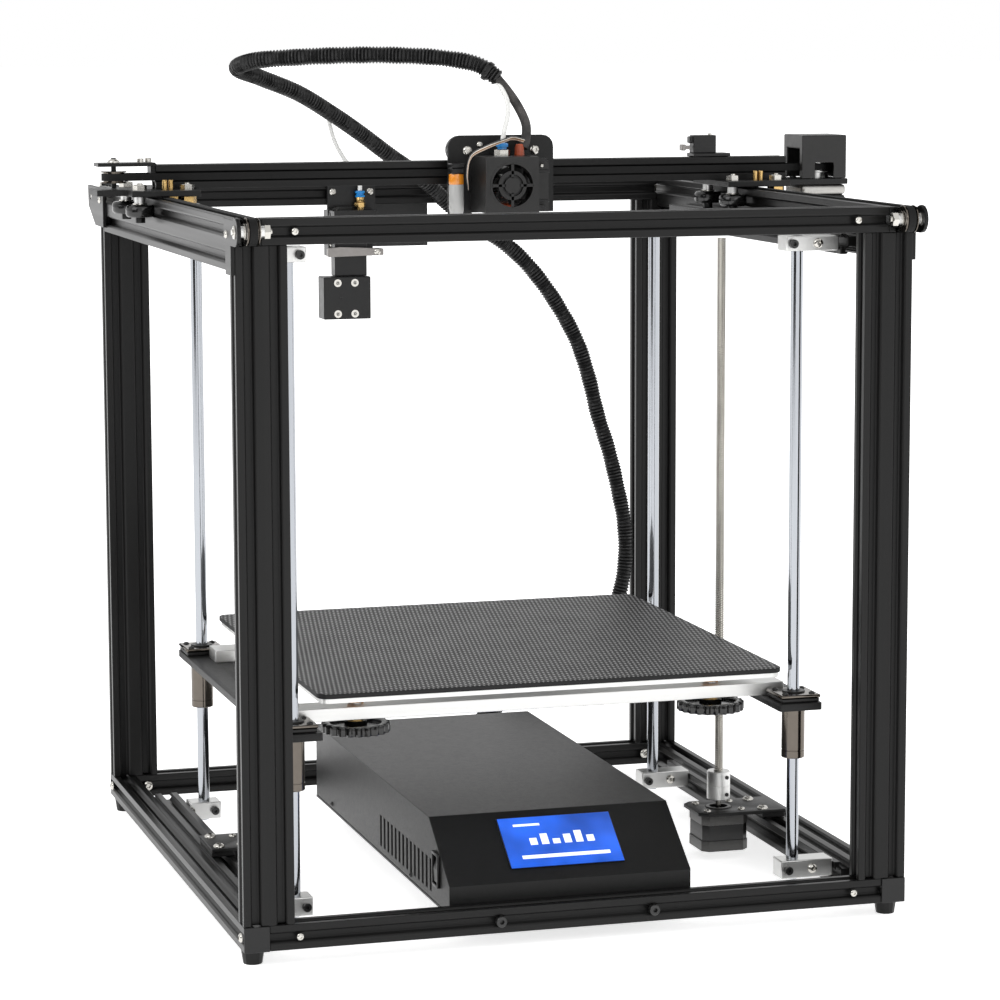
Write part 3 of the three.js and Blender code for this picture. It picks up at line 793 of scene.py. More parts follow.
@dataclass
class GuideRods:
    """The four ground rods that the bed slides on, with their clamps."""

    radius: float = 5.0
    names: tuple[str, ...] = ("front_left", "front_right", "rear_left", "rear_right")

    def build(self) -> None:
        """Makes each rod, its two clamps and their screws."""
        screws = Fasteners("rod_clamp_screws", "root", STEEL)
        black = Fasteners("rod_clamp_cap_screws", "root", BLACK_STEEL, "black_sheet")
        for name in self.names:
            node = f"guide_rod_{name}"
            box = Box.of(node)
            left = "left" in name
            rod_x = LIFT.rod_x(left)
            half = (box.z1 - box.z0) / 2
            rod = Bench.turned(f"ground_rod_{name}", [(0, half), (self.radius - 0.6, half),
                                                      (self.radius, half - 0.8),
                                                      (self.radius, 0.8 - half), (self.radius - 0.6, -half),
                                                      (0, -half)],
                               Axis.Z, (rod_x, box.y, box.z), 36)
            Bench.settle(rod, CHROME, "root", "chrome_rod")
            clamps = []
            for low, tall in ((box.z0 + 2, 15), (box.z1 - 12, 12)):
                clamps.append((box.x0, box.x1, box.y0, box.y1, low, low + tall))
            block = Bench.blocks(f"rod_clamps_{name}", clamps, 0.8)
            Bench.settle(block, MILLED, "root", "bright_aluminium")
            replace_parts(rod, node)
            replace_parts(block, node)
            inward = 1 if left else -1
            for low, tall in ((box.z0 + 2, 15), (box.z1 - 12, 12)):
                middle = low + tall / 2
                black.add(Head.CAP, (rod_x + inward * 7.5, box.y0 - 0.3, middle), (0, -1, 0), 4.2)
                screws.add(Head.BUTTON, (rod_x - inward * 14, box.y0, middle), (0, -1, 0), 4.4)
        screws.make()
        black.make()


@dataclass
class LiftDrives:
    """The two motors under the bed, with their couplings and threaded screws."""

    sides: tuple[str, ...] = ("left", "right")
    thread_radius: float = 4.0
    corner: float = 5.5
    pitch: float = 8.0
    starts: int = 4

    def build(self) -> None:
        """Dresses the motors and builds the turning parts."""
        studs = Fasteners("lift_motor_screws", "root", STEEL)
        for side in self.sides:
            motor = Box.of(f"z_motor_{side}")
            screw = Box.of(f"lead_screw_{side}")
            body = f"screw_{side}"
            centre = (screw.x, screw.y)
            self.motor(side, centre, motor)
            sign = -1 if side == "left" else 1
            for u, v in ((-15.5, -15.5), (15.5, -15.5), (-15.5, 15.5), (15.5, 15.5), (sign * 34, -18),
                         (sign * 34, 18)):
                studs.add(Head.BUTTON, (centre[0] + u, centre[1] + v, motor.z1), (0, 0, 1),
                          3.4 if abs(u) < 20 else 5.0)
            foot = motor.z1 + 7
            shaft = Bench.turned(f"motor_shaft_{side}", [(0, 16), (2.5, 16), (2.5, 0), (0, 0)], Axis.Z,
                                 (*centre, foot - 15), 20)
            Bench.settle(shaft, STEEL, body, "bright_aluminium")
            ring = Bench.turned(f"motor_boss_{side}", [(8, 0.8), (10.6, 0.8), (11, 0.4), (11, -0.4),
                                                       (8, -0.4), (8, 0.8)],
                                Axis.Z, (*centre, motor.z1), 36)
            Bench.settle(ring, MOTOR_GREY, "root", "motor_black")
            coupling = Bench.turned(f"shaft_coupling_{side}", self.coupling(), Axis.Z, (*centre, foot), 48)
            Bench.settle(coupling, MILLED, body, "bright_aluminium")
            thread = Bench.settle(self.thread(side, centre, foot + 22, screw.z1), STEEL, body,
                                  "bright_aluminium")
            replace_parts(coupling, f"lead_screw_{side}")
            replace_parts(thread, f"lead_screw_{side}")
            set_screws = Fasteners(f"coupling_screws_{side}", body, BLACK_STEEL, "black_sheet")
            for high in (foot + 5, foot + 20):
                set_screws.add(Head.CAP, (centre[0] + 4, centre[1] - 8.3, high), (0.4, -1, 0), 2.0)
            set_screws.make()
        studs.make()

    def motor(self, side: str, centre: Pair, motor: Box) -> None:
        """Builds one square motor under its plate, with cast caps and a dark stack.

        Args:
            side: The side's name.
            centre: The motor's middle.
            motor: The box of the CAD node that it stands for.
        """
        node = f"z_motor_{side}"
        half, deck = 21.0, motor.z1 - 3
        u0, u1, v0, v1 = centre[0] - half, centre[0] + half, centre[1] - half, centre[1] + half
        for part, low, high, shrink, finish in (("foot", motor.z0, motor.z0 + 9.4, 0.0, MOTOR_GREY),
                                                ("stack", motor.z0 + 9, deck - 8.6, 0.7, MOTOR_BLACK),
                                                ("cap", deck - 9, deck, 0.0, MOTOR_GREY)):
            a0, a1, b0, b1 = u0 + shrink, u1 - shrink, v0 + shrink, v1 - shrink
            cut = self.corner - shrink
            outline = [(a0 + cut, b0), (a1 - cut, b0), (a1, b0 + cut), (a1, b1 - cut), (a1 - cut, b1),
                       (a0 + cut, b1),
                       (a0, b1 - cut), (a0, b0 + cut)]
            piece = Bench.cut_sheet(f"lift_motor_{part}_{side}", outline, Axis.Z, low, high, [], 0.6)
            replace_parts(Bench.settle(piece, finish, "root", "motor_black"), node)
        inner = motor.x0 if side == "right" else motor.x1
        outer = motor.x1 if side == "right" else motor.x0
        low, high = min(inner, outer), max(inner, outer)
        cut = 7.0
        if side == "right":
            outline = [(low, motor.y0 + cut), (low + cut, motor.y0), (high, motor.y0), (high, motor.y1),
                       (low + cut, motor.y1), (low, motor.y1 - cut)]
        else:
            outline = [(low, motor.y0), (high - cut, motor.y0), (high, motor.y0 + cut),
                       (high, motor.y1 - cut),
                       (high - cut, motor.y1), (low, motor.y1)]
        deck_plate = Bench.cut_sheet(f"lift_motor_plate_{side}", outline, Axis.Z, deck, motor.z1,
                                     [circle(*centre, 11.5, 32)])
        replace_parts(Bench.settle(deck_plate, SHEET, "root", "black_sheet"), node)
        wall = -232.0 if side == "left" else 232.0
        riser = (min(wall, outer), max(wall, outer), motor.y0 + 2, motor.y1 - 2, deck - 4.2, deck)
        Bench.settle(Bench.blocks(f"lift_motor_riser_{side}", [riser], 0.6), SHEET, "root", "black_sheet")

    @staticmethod
    def coupling() -> list[Pair]:
        """Gives the coupling's profile, with the cuts of its spring."""
        profile: list[Pair] = [(4.2, 25), (9.4, 25), (10, 24.4), (10, 12.6)]
        profile += [(9.7, 12.4), (9.7, 11.9), (10, 11.7)]
        return profile + [(10, 0.6), (9.4, 0), (2.6, 0)]

    def thread(self, side: str, centre: Pair, low: float, high: float) -> bpy.types.Object:
        """Builds the threaded rod as a ridged surface whose ridges climb.

        Args:
            side: The side's name.
            centre: The screw's middle in millimetres.
            low: Where the thread starts.
            high: Where it ends.

        Returns:
            The rod.
        """
        cage = bmesh.new()
        around, rows = 32, int((high - low) / 0.4)
        loops = []
        for row in range(rows + 1):
            z = low + (high - low) * row / rows
            loop = []
            for step in range(around):
                angle = 2 * math.pi * step / around
                phase = (z / self.pitch * self.starts - step / around * self.starts) * 2 * math.pi
                radius = self.thread_radius - 0.6 + 0.6 * math.tanh(1.8 * math.sin(phase))
                loop.append(cage.verts.new(Spot.at(centre[0] + radius * math.cos(angle),
                                                   centre[1] + radius * math.sin(angle), z)))
            loops.append(loop)
        for lower, upper in zip(loops, loops[1:]):
            for step in range(around):
                after = (step + 1) % around
                cage.faces.new((lower[step], lower[after], upper[after], upper[step]))
        cage.faces.new(loops[-1])
        cage.faces.new(list(reversed(loops[0])))
        return Bench.mesh(f"threaded_screw_{side}", cage)


@dataclass
class Bed:
    """The heated bed: glass, plate, bars, springs, knobs, carriers and bearings."""

    glass_rounding: float = 0.5
    knob_lobes: int = 22
    carrier_top: float = 170.5

    def build(self) -> None:
        """Builds the bed."""
        glass = FRAME["nodes"]["build_plate"]
        glass.data.materials.clear()
        glass.data.materials.append(DottedGlass().build())
        weld = glass.modifiers.new("welded", "WELD")
        weld.merge_threshold = 1e-5
        Bench.bevel(glass, self.glass_rounding)
        Bench.dress("heated_plate", PALE_METAL, 0.4)
        Bench.dress("bed_bar_front", MILLED, 0.5)
        Bench.dress("bed_bar_rear", MILLED, 0.5)
        self.carriers()
        self.knobs()
        self.clips()

    def carriers(self) -> None:
        """Builds the carrier sheets, the flanged bearings and the screw nuts."""
        for side in ("left", "right"):
            node = f"bed_carrier_{side}"
            box = Box.of(node)
            rod_x = LIFT.rod_x(side == "left")
            screw = Box.of(f"lead_screw_{side}")
            top = self.carrier_top
            holes = [circle(rod_x, row, 9.7, 28) for row in (LIFT.row_low, LIFT.row_high)]
            holes.append(circle(screw.x, screw.y, 6.4, 24))
            outline = rounded(box.x0, box.x1, box.y0, box.y1, 3.0)
            sheet = Bench.cut_sheet(f"carrier_sheet_{side}", outline, Axis.Z, top - 6, top, holes, 0.5)
            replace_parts(Bench.settle(sheet, SHEET, "bed", "black_sheet"), node)
            screws = Fasteners(f"carrier_screws_{side}", "bed", BLACK_STEEL, "black_sheet")
            dark, bright = [], []
            for which, row in (("front", LIFT.row_low), ("rear", LIFT.row_high)):
                dark.append((rod_x - 16, rod_x + 16, row - 17, row + 17, top, top + 3.2))
                bright.append((rod_x - 17, rod_x + 17, row - 18, row + 18, top + 3.2, top + 6.2))
                for u in (-11.5, 11.5):
                    for v in (-11.5, 11.5):
                        screws.add(Head.BUTTON, (rod_x + u, row + v, top + 6.1), (0, 0, 1), 2.8)
                barrel = Bench.turned(f"bearing_barrel_{side}_{which}", self.barrel(), Axis.Z,
                                      (rod_x, row, box.z0), 40)
                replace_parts(Bench.settle(barrel, NICKEL, "bed", "bright_aluminium"), node)
                lip = Bench.turned(f"bearing_seal_{side}_{which}",
                                   [(5.2, 1.4), (9.0, 1.4), (9.4, 1.0), (9.4, 0), (5.2, 0),
                                                                    (5.2, 1.4)], Axis.Z, (rod_x, row,
                                                                        top + 6), 32)
                Bench.settle(lip, SHROUD, "bed", "black_plastic")
            seat = Bench.settle(Bench.blocks(f"bearing_seats_{side}", dark, 0.8), SHROUD, "bed",
                                "black_sheet")
            flange = Bench.settle(Bench.blocks(f"bearing_flanges_{side}", bright, 1.2), NICKEL, "bed",
                                  "bright_aluminium")
            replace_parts(seat, node)
            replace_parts(flange, node)
            nut = Bench.turned(f"screw_nut_{side}", [(4.3, 24), (5.6, 24), (6, 23.6), (6, 20.4), (11, 20.2),
                                                     (11, 17),
                                                     (6, 16.8), (6, 0.4), (5.6, 0), (4.3, 0), (4.3, 24)],
                               Axis.Z, (screw.x, screw.y, top - 16), 40)
            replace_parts(Bench.settle(nut, BRASS, "bed", "brass_fitting"), node)
            screws.make()

    @staticmethod
    def barrel() -> list[Pair]:
        """Gives the bearing barrel's profile, with its end grooves, from top to bottom."""
        return [(5.2, 50), (9.5, 50), (9.5, 7), (9.1, 6.8), (9.1, 6.0), (9.5, 5.8), (9.5, 0.6), (9.0, 0),
                (8.2, 0),
                (8.0, 0.8), (5.2, 0.8), (5.2, 50)]

    def knobs(self) -> None:
        """Builds the four scalloped knobs with their hubs, nuts and springs."""
        plate_low = Box.of("heated_plate").z0
        for name in ("front_left", "front_right", "rear_left", "rear_right"):
            node, body = f"level_knob_{name}", f"knob_{name}"
            box = Box.of(node)
            outline = []
            count = self.knob_lobes * 8
            for step in range(count):
                angle = 2 * math.pi * step / count
                radius = 26.4 + 1.3 * math.tanh(1.6 * math.cos(self.knob_lobes * angle))
                outline.append((box.x + radius * math.cos(angle), box.y + radius * math.sin(angle)))
            rim = Bench.cut_sheet(f"scalloped_knob_{name}", outline, Axis.Z, box.z0, box.z0 + 8,
                                  [circle(box.x, box.y, 20.5, 48)], 1.3)
            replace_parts(Bench.settle(rim, KNOB, body, "black_plastic"), node)
            web = Bench.turned(f"knob_web_{name}", [(4.2, 9.5), (8.5, 9.5), (9.2, 8.8), (9.2, 5.4),
                                                    (20.6, 5.0), (20.6, 2.0),
                                                    (4.2, 2.0), (4.2, 9.5)], Axis.Z, (box.x, box.y, box.z0),
                                                    40)
            Bench.settle(web, KNOB, body, "black_plastic")
            nut = Fasteners(f"knob_nut_{name}", body, BRASS, "brass_fitting")
            nut.add(Head.NUT, (box.x, box.y, box.z0 + 9.2), (0, 0, 1), 6.0)
            nut.make()
            self.spring(name, box.x, box.y, self.carrier_top + 10.8, plate_low - 0.4)

    @staticmethod
    def spring(name: str, x: float, y: float, low: float, high: float) -> None:
        """Winds one levelling spring."""
        points = []
        turns, steps = 4, 10
        for step in range(turns * steps + 1):
            angle = 2 * math.pi * step / steps
            points.append((x + 6 * math.cos(angle), y + 6 * math.sin(angle),
                           low + (high - low) * step / (turns * steps)))
        Bench.settle(Bench.wire(f"levelling_spring_{name}", points, 0.8, True, 2), TAPE, "bed",
                     "bright_aluminium")

    @staticmethod
    def clips() -> None:
        """Adds the tape tabs along the plate's front edge."""
        plate = Box.of("heated_plate")
        tabs = []
        for x in (-158.0, 141.0):
            tabs.append((x - 5, x + 5, plate.y0 + 3, plate.y0 + 12, plate.z0 - 0.6, plate.z0 + 0.1))
        Bench.settle(Bench.blocks("edge_tape_tabs", tabs, 0.2), TAPE, "bed", "bright_aluminium")


@dataclass
class ControlBox:
    """The electronics box at the front, with its vents, rocker and lit screen."""

    def build(self) -> None:
        """Dresses the box and builds its screen, rocker and screws."""
        Bench.dress("control_box_cover", BOX_PAINT, 0.8)
        Bench.dress("electronics_tray", SHEET)
        Bench.dress("power_switch", PLASTIC, 0.6)
        self.rocker_frame()
        self.screen()
        cover = Box.of("control_box_cover")
        screws = Fasteners("box_screws", "root", BLACK_STEEL, "black_sheet")
        for y in (cover.y0 + 118, cover.y1 - 60):
            for x, facing in ((cover.x0, -1), (cover.x1, 1)):
                screws.add(Head.BUTTON, (x, y, cover.z0 + 4), (facing, 0, 0), 2.4)
        screws.make()

    @staticmethod
    def rocker_frame() -> None:
        """Builds the frame round the rocker."""
        box = Box.of("power_switch")
        face = Box.of("control_box_cover").x0
        outer = rounded(box.y0 - 3, box.y1 + 3, box.z0 - 2.6, box.z1 + 2.6, 1.5)
        inner = rounded(box.y0 - 0.4, box.y1 + 0.4, box.z0 - 0.2, box.z1 + 0.2, 0.5)
        frame = Bench.cut_sheet("rocker_frame", outer, Axis.X, face - 2.2, face + 0.2, [inner], 0.4)
        Bench.settle(frame, PLASTIC, "root", "black_plastic")

    def screen(self) -> None:
        """Builds the lit screen as a generic status page: six bars, a line and a progress bar."""
        node = FRAME["nodes"]["touch_screen"]
        node.data.materials.clear()
        node.data.materials.append(Finish("screen_glass_edge", (0.01, 0.012, 0.02), 0.12, coat=0.6).build())
        box = Box.of("touch_screen")
        slope = math.atan2(box.z1 - box.z0, box.y1 - box.y0)
        across = box.x1 - box.x0
        up = Vector((0, math.cos(slope), math.sin(slope)))
        out = Vector((0, -math.sin(slope), math.cos(slope)))
        run = math.hypot(box.y1 - box.y0, box.z1 - box.z0) - 0.6
        start = Vector((box.x0, box.y0, box.z0)) + out * 1.3
        white = Finish("screen_white", (0.8, 0.87, 0.95), 0.2, glow=0.55, tint=0.03, coat=0.3)
        self.tiles("screen_page", start, up, out, [(0.8, across - 0.8, 0.8, run - 1.2)], 0.15, self.page())
        self.tiles("screen_progress", start, up, out, [(12, across - 10, 9, 12.4)], 0.4, white)
        bars = [(22 + count * 9.5, 22 + count * 9.5 + 6, 23, 23 + tall) for count, tall in
                enumerate((7.0, 11.0, 5.0, 9.0, 12.0, 6.5))]
        bars.append((12, 34, 43, 45.2))
        self.tiles("screen_marks", start, up, out, bars, 0.4, white)

    @staticmethod
    def page() -> bpy.types.Material:
        """Makes the lit page: blue that brightens in soft clouds."""
        page = Finish("screen_page_blue", (0.012, 0.085, 0.52), 0.2, glow=0.6, grain=260, tint=0.5, coat=0.3)
        made = page.build()
        ramp = next(node for node in made.node_tree.nodes if node.type == "VALTORGB")
        shader = made.node_tree.nodes["Principled BSDF"]
        made.node_tree.links.new(ramp.outputs["Color"], shader.inputs["Emission Color"])
        return made

    @staticmethod
    def tiles(name: str, start: Vector, up: Vector, out: Vector, shapes: Sequence[Sequence[float]],
              proud: float, finish: Finish | bpy.types.Material) -> None:
        """Builds thin tiles on the sloping face.

        Args:
            name: The piece's name.
            start: The face's lower left corner in millimetres.
            up: The way up the face.
            out: The way out of it.
            shapes: Each tile as u0, u1, v0, v1.
            proud: How far the tiles stand out.
            finish: Their finish, or a material that is already built.
        """
        cage = bmesh.new()
        for u0, u1, v0, v1 in shapes:
            corners = []
            for lift in (-0.6, proud):
                for u, v in ((u0, v0), (u1, v0), (u1, v1), (u0, v1)):
                    place = start + Vector((u, 0, 0)) + up * v + out * lift
                    corners.append(cage.verts.new(Spot.at(*place)))
            bottom, top = corners[:4], corners[4:]
            cage.faces.new(top)
            cage.faces.new(list(reversed(bottom)))
            for step in range(4):
                after = (step + 1) % 4
                cage.faces.new((bottom[step], bottom[after], top[after], top[step]))
        Bench.settle(Bench.mesh(name, cage), finish, "root", "screen_glass")


# ---------------------------------------------------------------- the moving gantry


@dataclass
class Belts:
    """The three toothed belts, their pulleys and idlers."""

    thick: float = 1.4
    width: float = 6.0
    pitch: float = 2.0

    def build(self) -> None:
        """Builds every belt as a toothed loop."""
        for node, axis, body in (("x_belt", Axis.X, "gantry"), ("y_belt_left", Axis.Y, "root"),
                                 ("y_belt_right", Axis.Y, "root")):
            self.loop(node, axis, body)

    def loop(self, node: str, axis: Axis, body: str) -> None:
        """Builds one belt round its two pulleys.

        Args:
            node: The CAD node that the belt stands for.
            axis: The way it runs.
            body: The body that carries it.
        """
        box = Box.of(node)
        if axis is Axis.X:
            ends, middle, across, low, high = (box.x0, box.x1), box.y, (box.y1 - box.y0) / 2, box.z0, box.z1
        else:
            ends, middle, across, low, high = (box.y0, box.y1), box.z, (box.z1 - box.z0) / 2, box.x0, box.x1
        reach = across
        start, end = ends[0] + reach, ends[1] - reach
        steps = int((end - start) / (self.pitch / 2))
        path: list[tuple[Pair, Pair]] = []
        for step in range(steps + 1):
            path.append(((start + (end - start) * step / steps, middle - reach), (0.0, -1.0)))
        turn = 22
        for step in range(1, turn):
            angle = -math.pi / 2 + math.pi * step / turn
            path.append(((end + reach * math.cos(angle), middle + reach * math.sin(angle)),
                         (math.cos(angle), math.sin(angle))))
        for step in range(steps + 1):
            path.append(((end - (end - start) * step / steps, middle + reach), (0.0, 1.0)))
        for step in range(1, turn):
            angle = math.pi / 2 + math.pi * step / turn
            path.append(((start + reach * math.cos(angle), middle + reach * math.sin(angle)),
                         (math.cos(angle), math.sin(angle))))
        cage = bmesh.new()
        rings = []
        for count, ((u, v), (nu, nv)) in enumerate(path):
            depth = self.thick if count % 2 else self.thick * 0.55
            ring = []
            for offset, side in ((0, low), (0, high), (depth, high), (depth, low)):
                pu, pv = u - nu * offset, v - nv * offset
                place = (pu, pv, side) if axis is Axis.X else (side, pu, pv)
                ring.append(cage.verts.new(Spot.at(*place)))
            rings.append(ring)
        for count, ring in enumerate(rings):
            after = rings[(count + 1) % len(rings)]
            for corner in range(4):
                following = (corner + 1) % 4
                cage.faces.new((ring[corner], ring[following], after[following], after[corner]))
        belt = Bench.settle(Bench.mesh(f"toothed_{node}", cage), RUBBER, body, "belt_rubber")
        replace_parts(belt, node)


WHEEL_RADIUS = 12
WHEEL_HALF = 5.2
PULLEY_RADIUS = 8.6
PULLEY_HALF = 5


def pulley_profile(radius: float, flange: float, half: float) -> list[Pair]:
    """Gives a flanged pulley's profile from top to bottom."""
    return [(0, half), (flange - 0.4, half), (flange, half - 0.3), (flange, half - 1.0),
            (radius, half - 1.3), (radius, 1.3 - half), (flange, 1.0 - half), (flange, 0.3 - half),
            (flange - 0.4, -half), (0, -half)]


def wheel_profile(radius: float, half: float) -> list[Pair]:
    """Gives a grooved wheel's outer profile from top to bottom."""
    return [(0, half - 0.6), (radius - 5.4, half - 0.6), (radius - 5.0, half), (radius - 2.0, half),
            (radius - 0.7, half - 1.0), (radius, half - 2.4), (radius, 2.4 - half),
            (radius - 0.7, 1.0 - half), (radius - 2.0, -half), (radius - 5.0, -half),
            (radius - 5.4, 0.6 - half), (0, 0.6 - half)]


@dataclass
class Gantry:
    """The cross beam with its two carriages, idler, motor, cover and limit switch."""

    y: float = 70.0
    idler_x: float = -298.0
    pulley_x: float = 332.0
    wheel_rows: tuple[float, ...] = (38.0, 102.0)
    inner_wheels: tuple[float, ...] = (-242.0, 282.0)
    rail_wheels: tuple[float, ...] = (-282.0, 242.0)
    belt_z: float = 589.0
    plate_top: float = 579.0
    idler_top: float = 601.2

    def build(self) -> None:
        """Builds the gantry."""
        Bench.dress("gantry_beam", ANODISED[Axis.X], 0.6)
        Bench.dress("gantry_plate_left", SHEET, 0.6)
        Bench.dress("gantry_plate_right", SHEET, 0.6)
        Bench.dress("x_motor_cover", SHROUD, 1.2)
        Bench.dress("x_idler", STEEL)
        self.motor()
        self.wheels()
        self.idler_bracket()
        self.limit_switch()

    def motor(self) -> None:
        """Builds the belt motor: black stack, bright caps and a toothed pulley."""
        box = Box.of("x_motor")
        x, y = self.pulley_x, self.y
        low, high = box.z0, 573.7
        half = 21.0
        stack = Bench.blocks("x_motor_stack", [(x - half, x + half, y - half, y + half, low + 8, high - 9)],
                             3.0)
        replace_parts(Bench.settle(stack, MOTOR_BLACK, "gantry", "motor_black"), "x_motor")
        caps = Bench.blocks("x_motor_caps", [(x - half, x + half, y - half, y + half, low, low + 8),
                                             (x - half, x + half, y - half, y + half, high - 9, high)], 3.0)
        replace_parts(Bench.settle(caps, MOTOR_CAP, "gantry", "bright_aluminium"), "x_motor")
        pulley = Bench.turned("x_motor_pulley", pulley_profile(PULLEY_RADIUS, 11, PULLEY_HALF), Axis.Z,
                              (x, y, self.belt_z), 40)
        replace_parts(Bench.settle(pulley, MILLED, "gantry", "bright_aluminium"), "x_motor")
        hub = Bench.turned("x_pulley_hub", [(0, 584), (8, 584), (8, 576.5), (0, 576.5)], Axis.Z, (x, y, 0),
                           32)
        Bench.settle(hub, MILLED, "gantry", "bright_aluminium")
        feet = Fasteners("x_motor_screws", "gantry", BLACK_STEEL, "black_sheet")
        for u in (-15.5, 15.5):
            for v in (-15.5, 15.5):
                feet.add(Head.BUTTON, (x + u, y + v, self.plate_top), (0, 0, 1), 3.2)
        feet.make()

    def wheels(self) -> None:
        """Builds the rail wheels, their spacers, bolts and nuts."""
        bolts = Fasteners("carriage_nuts", "gantry", STEEL)
        caps = Fasteners("carriage_bolt_heads", "gantry", BLACK_STEEL, "black_sheet")
        for side in ("left", "right"):
            for row in ("front", "rear"):
                node = f"rail_wheel_{side}_{row}"
                box = Box.of(node)
                wheel = Bench.turned(f"grooved_wheel_{side}_{row}",
                                     wheel_profile(WHEEL_RADIUS, (box.z1 - box.z0) / 2), Axis.Z,
                                     (box.x, box.y, box.z), 48)
                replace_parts(Bench.settle(wheel, KNOB, f"wheel_{side}_{row}", "black_plastic"), node)
        for side, x in zip(("left", "right"), self.inner_wheels):
            for row, y in zip(("front", "rear"), self.wheel_rows):
                wheel = Bench.turned(f"inner_wheel_{side}_{row}",
                                     wheel_profile(WHEEL_RADIUS, WHEEL_HALF), Axis.Z, (x, y, 562), 48)
                Bench.settle(wheel, KNOB, "gantry", "black_plastic")
        for x in (*self.rail_wheels, *self.inner_wheels):
            for y in self.wheel_rows:
                bolts.add(Head.NUT, (x, y, self.plate_top), (0, 0, 1), 5.6)
                bolts.add(Head.WASHER, (x, y, 567.4), (0, 0, 1), 6.0)
                spacer = Bench.turned(f"wheel_spacer_{int(x + 500)}_{int(y)}",
                                      [(0, 574), (4.6, 574), (4.6, 567.6), (0, 567.6)],
                                      Axis.Z, (x, y, 0), 24)
                Bench.settle(spacer, MILLED, "gantry", "bright_aluminium")
                caps.add(Head.CAP, (x, y, 556.6), (0, 0, -1), 4.6)
        bolts.make()
        for x in (-258.0, 266.0):
            for shift in (-2.6, 2.6):
                stand = Bench.turned(f"brass_standoff_{int(x + 500)}_{int(shift + 5)}",
                                     [(0, 8.5), (1.7, 8.5), (2.1, 8.0), (2.1, 0), (0, 0)], Axis.Z,
                                     (x + shift, 40.0, 578.8), 20)
                Bench.settle(stand, BRASS, "gantry", "brass_fitting")
        caps.make()
        brass = Fasteners("carriage_eccentric_nuts", "gantry", BRASS, "brass_fitting")
        for x in self.inner_wheels:
            for y in self.wheel_rows:
                brass.add(Head.NUT, (x, y, 567.8), (0, 0, 1), 7.4)
        brass.make()

    def idler_bracket(self) -> None:
        """Builds the idler's turned wheel, its top plate screws and its bolt."""
        wheel = Bench.turned("x_idler_wheel", pulley_profile(PULLEY_RADIUS, 11, PULLEY_HALF), Axis.Z,
                             (self.idler_x, self.y, self.belt_z), 40)
        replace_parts(Bench.settle(wheel, NICKEL, "idler_x", "bright_aluminium"), "x_idler")
        screws = Fasteners("idler_bolts", "gantry", STEEL)
        screws.add(Head.BUTTON, (self.idler_x, self.y, self.idler_top), (0, 0, 1), 5.4)
        screws.add(Head.CAP, (-276, self.y - 4, self.idler_top), (0, 0, 1), 3.4)
        screws.add(Head.CAP, (-268, self.y + 4, self.idler_top), (0, 0, 1), 3.4)
        screws.make()

    def limit_switch(self) -> None:
        """Builds the limit switch at the beam's right end."""
        body = Bench.blocks("x_limit_switch", [(214, 248, 60, 80, 599.2, 602.4),
                                               (215, 236, 64, 76, 602.2, 618),
                                               (212, 216, 66, 74, 611, 617)], 0.8)
        Bench.settle(body, PLASTIC, "gantry", "black_plastic")
        tongue = Bench.blocks("x_limit_plunger", [(208, 213, 67, 73, 605.6, 609.0),
                                                  (205, 208.4, 66, 74, 604.6, 610)], 0.4)
        Bench.settle(tongue, GREY_METAL, "gantry", "bright_aluminium")
        screws = Fasteners("limit_switch_screws", "gantry", STEEL)
        screws.add(Head.CAP, (232.0, 70.0, 617.6), (0, 0, 1), 2.0)
        screws.make()


@dataclass
class YDrive:
    """The rear shaft with its motor, and the front idlers with their tensioner bolts."""

    idler_y: float = -303.0
    axle_z: float = 563.0

    def build(self) -> None:
        """Builds the drive."""
        for side, sign in (("left", -1), ("right", 1)):
            node = f"y_idler_{side}"
            box = Box.of(node)
            wheel = Bench.turned(f"y_idler_wheel_{side}",
                                 pulley_profile(PULLEY_RADIUS, 10.8, PULLEY_HALF), Axis.X,
                                 (box.x, self.idler_y, self.axle_z), 40)
            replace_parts(Bench.settle(wheel, NICKEL, f"idler_y_{side}", "bright_aluminium"), node)
            bolt = Fasteners(f"y_idler_bolt_{side}", "root", STEEL)
            for end in (-1, 1):
                bolt.add(Head.WASHER, (box.x + end * 5.4, self.idler_y, self.axle_z), (end, 0, 0), 6.2)
                bolt.add(Head.NUT, (box.x + end * 9.4, self.idler_y, self.axle_z), (end, 0, 0), 5.4)
            bolt.make()
            ring = Bench.turned(f"y_idler_spacer_{side}", [(0, 9.6), (4.4, 9.6), (4.4, -9.6), (0, -9.6)],
                                Axis.X,
                                (box.x, self.idler_y, self.axle_z), 28)
            Bench.settle(ring, MILLED, "root", "bright_aluminium")
        Bench.dress("y_drive_shaft", STEEL)
        box = Box.of("y_motor")
        motor = FRAME["nodes"]["y_motor"]
        motor.data.materials.clear()
        motor.data.materials.append(MOTOR_BLACK.build())
        Bench.bevel(motor, 0.8)
        screws = Fasteners("y_motor_screws", "root", STEEL)
        for x in (-2.0, 24.0):
            screws.add(Head.BUTTON, (x, box.y0 - 0.2, 562), (0, -1, 0), 3.4)
        screws.make()


# ---------------------------------------------------------------- the feed


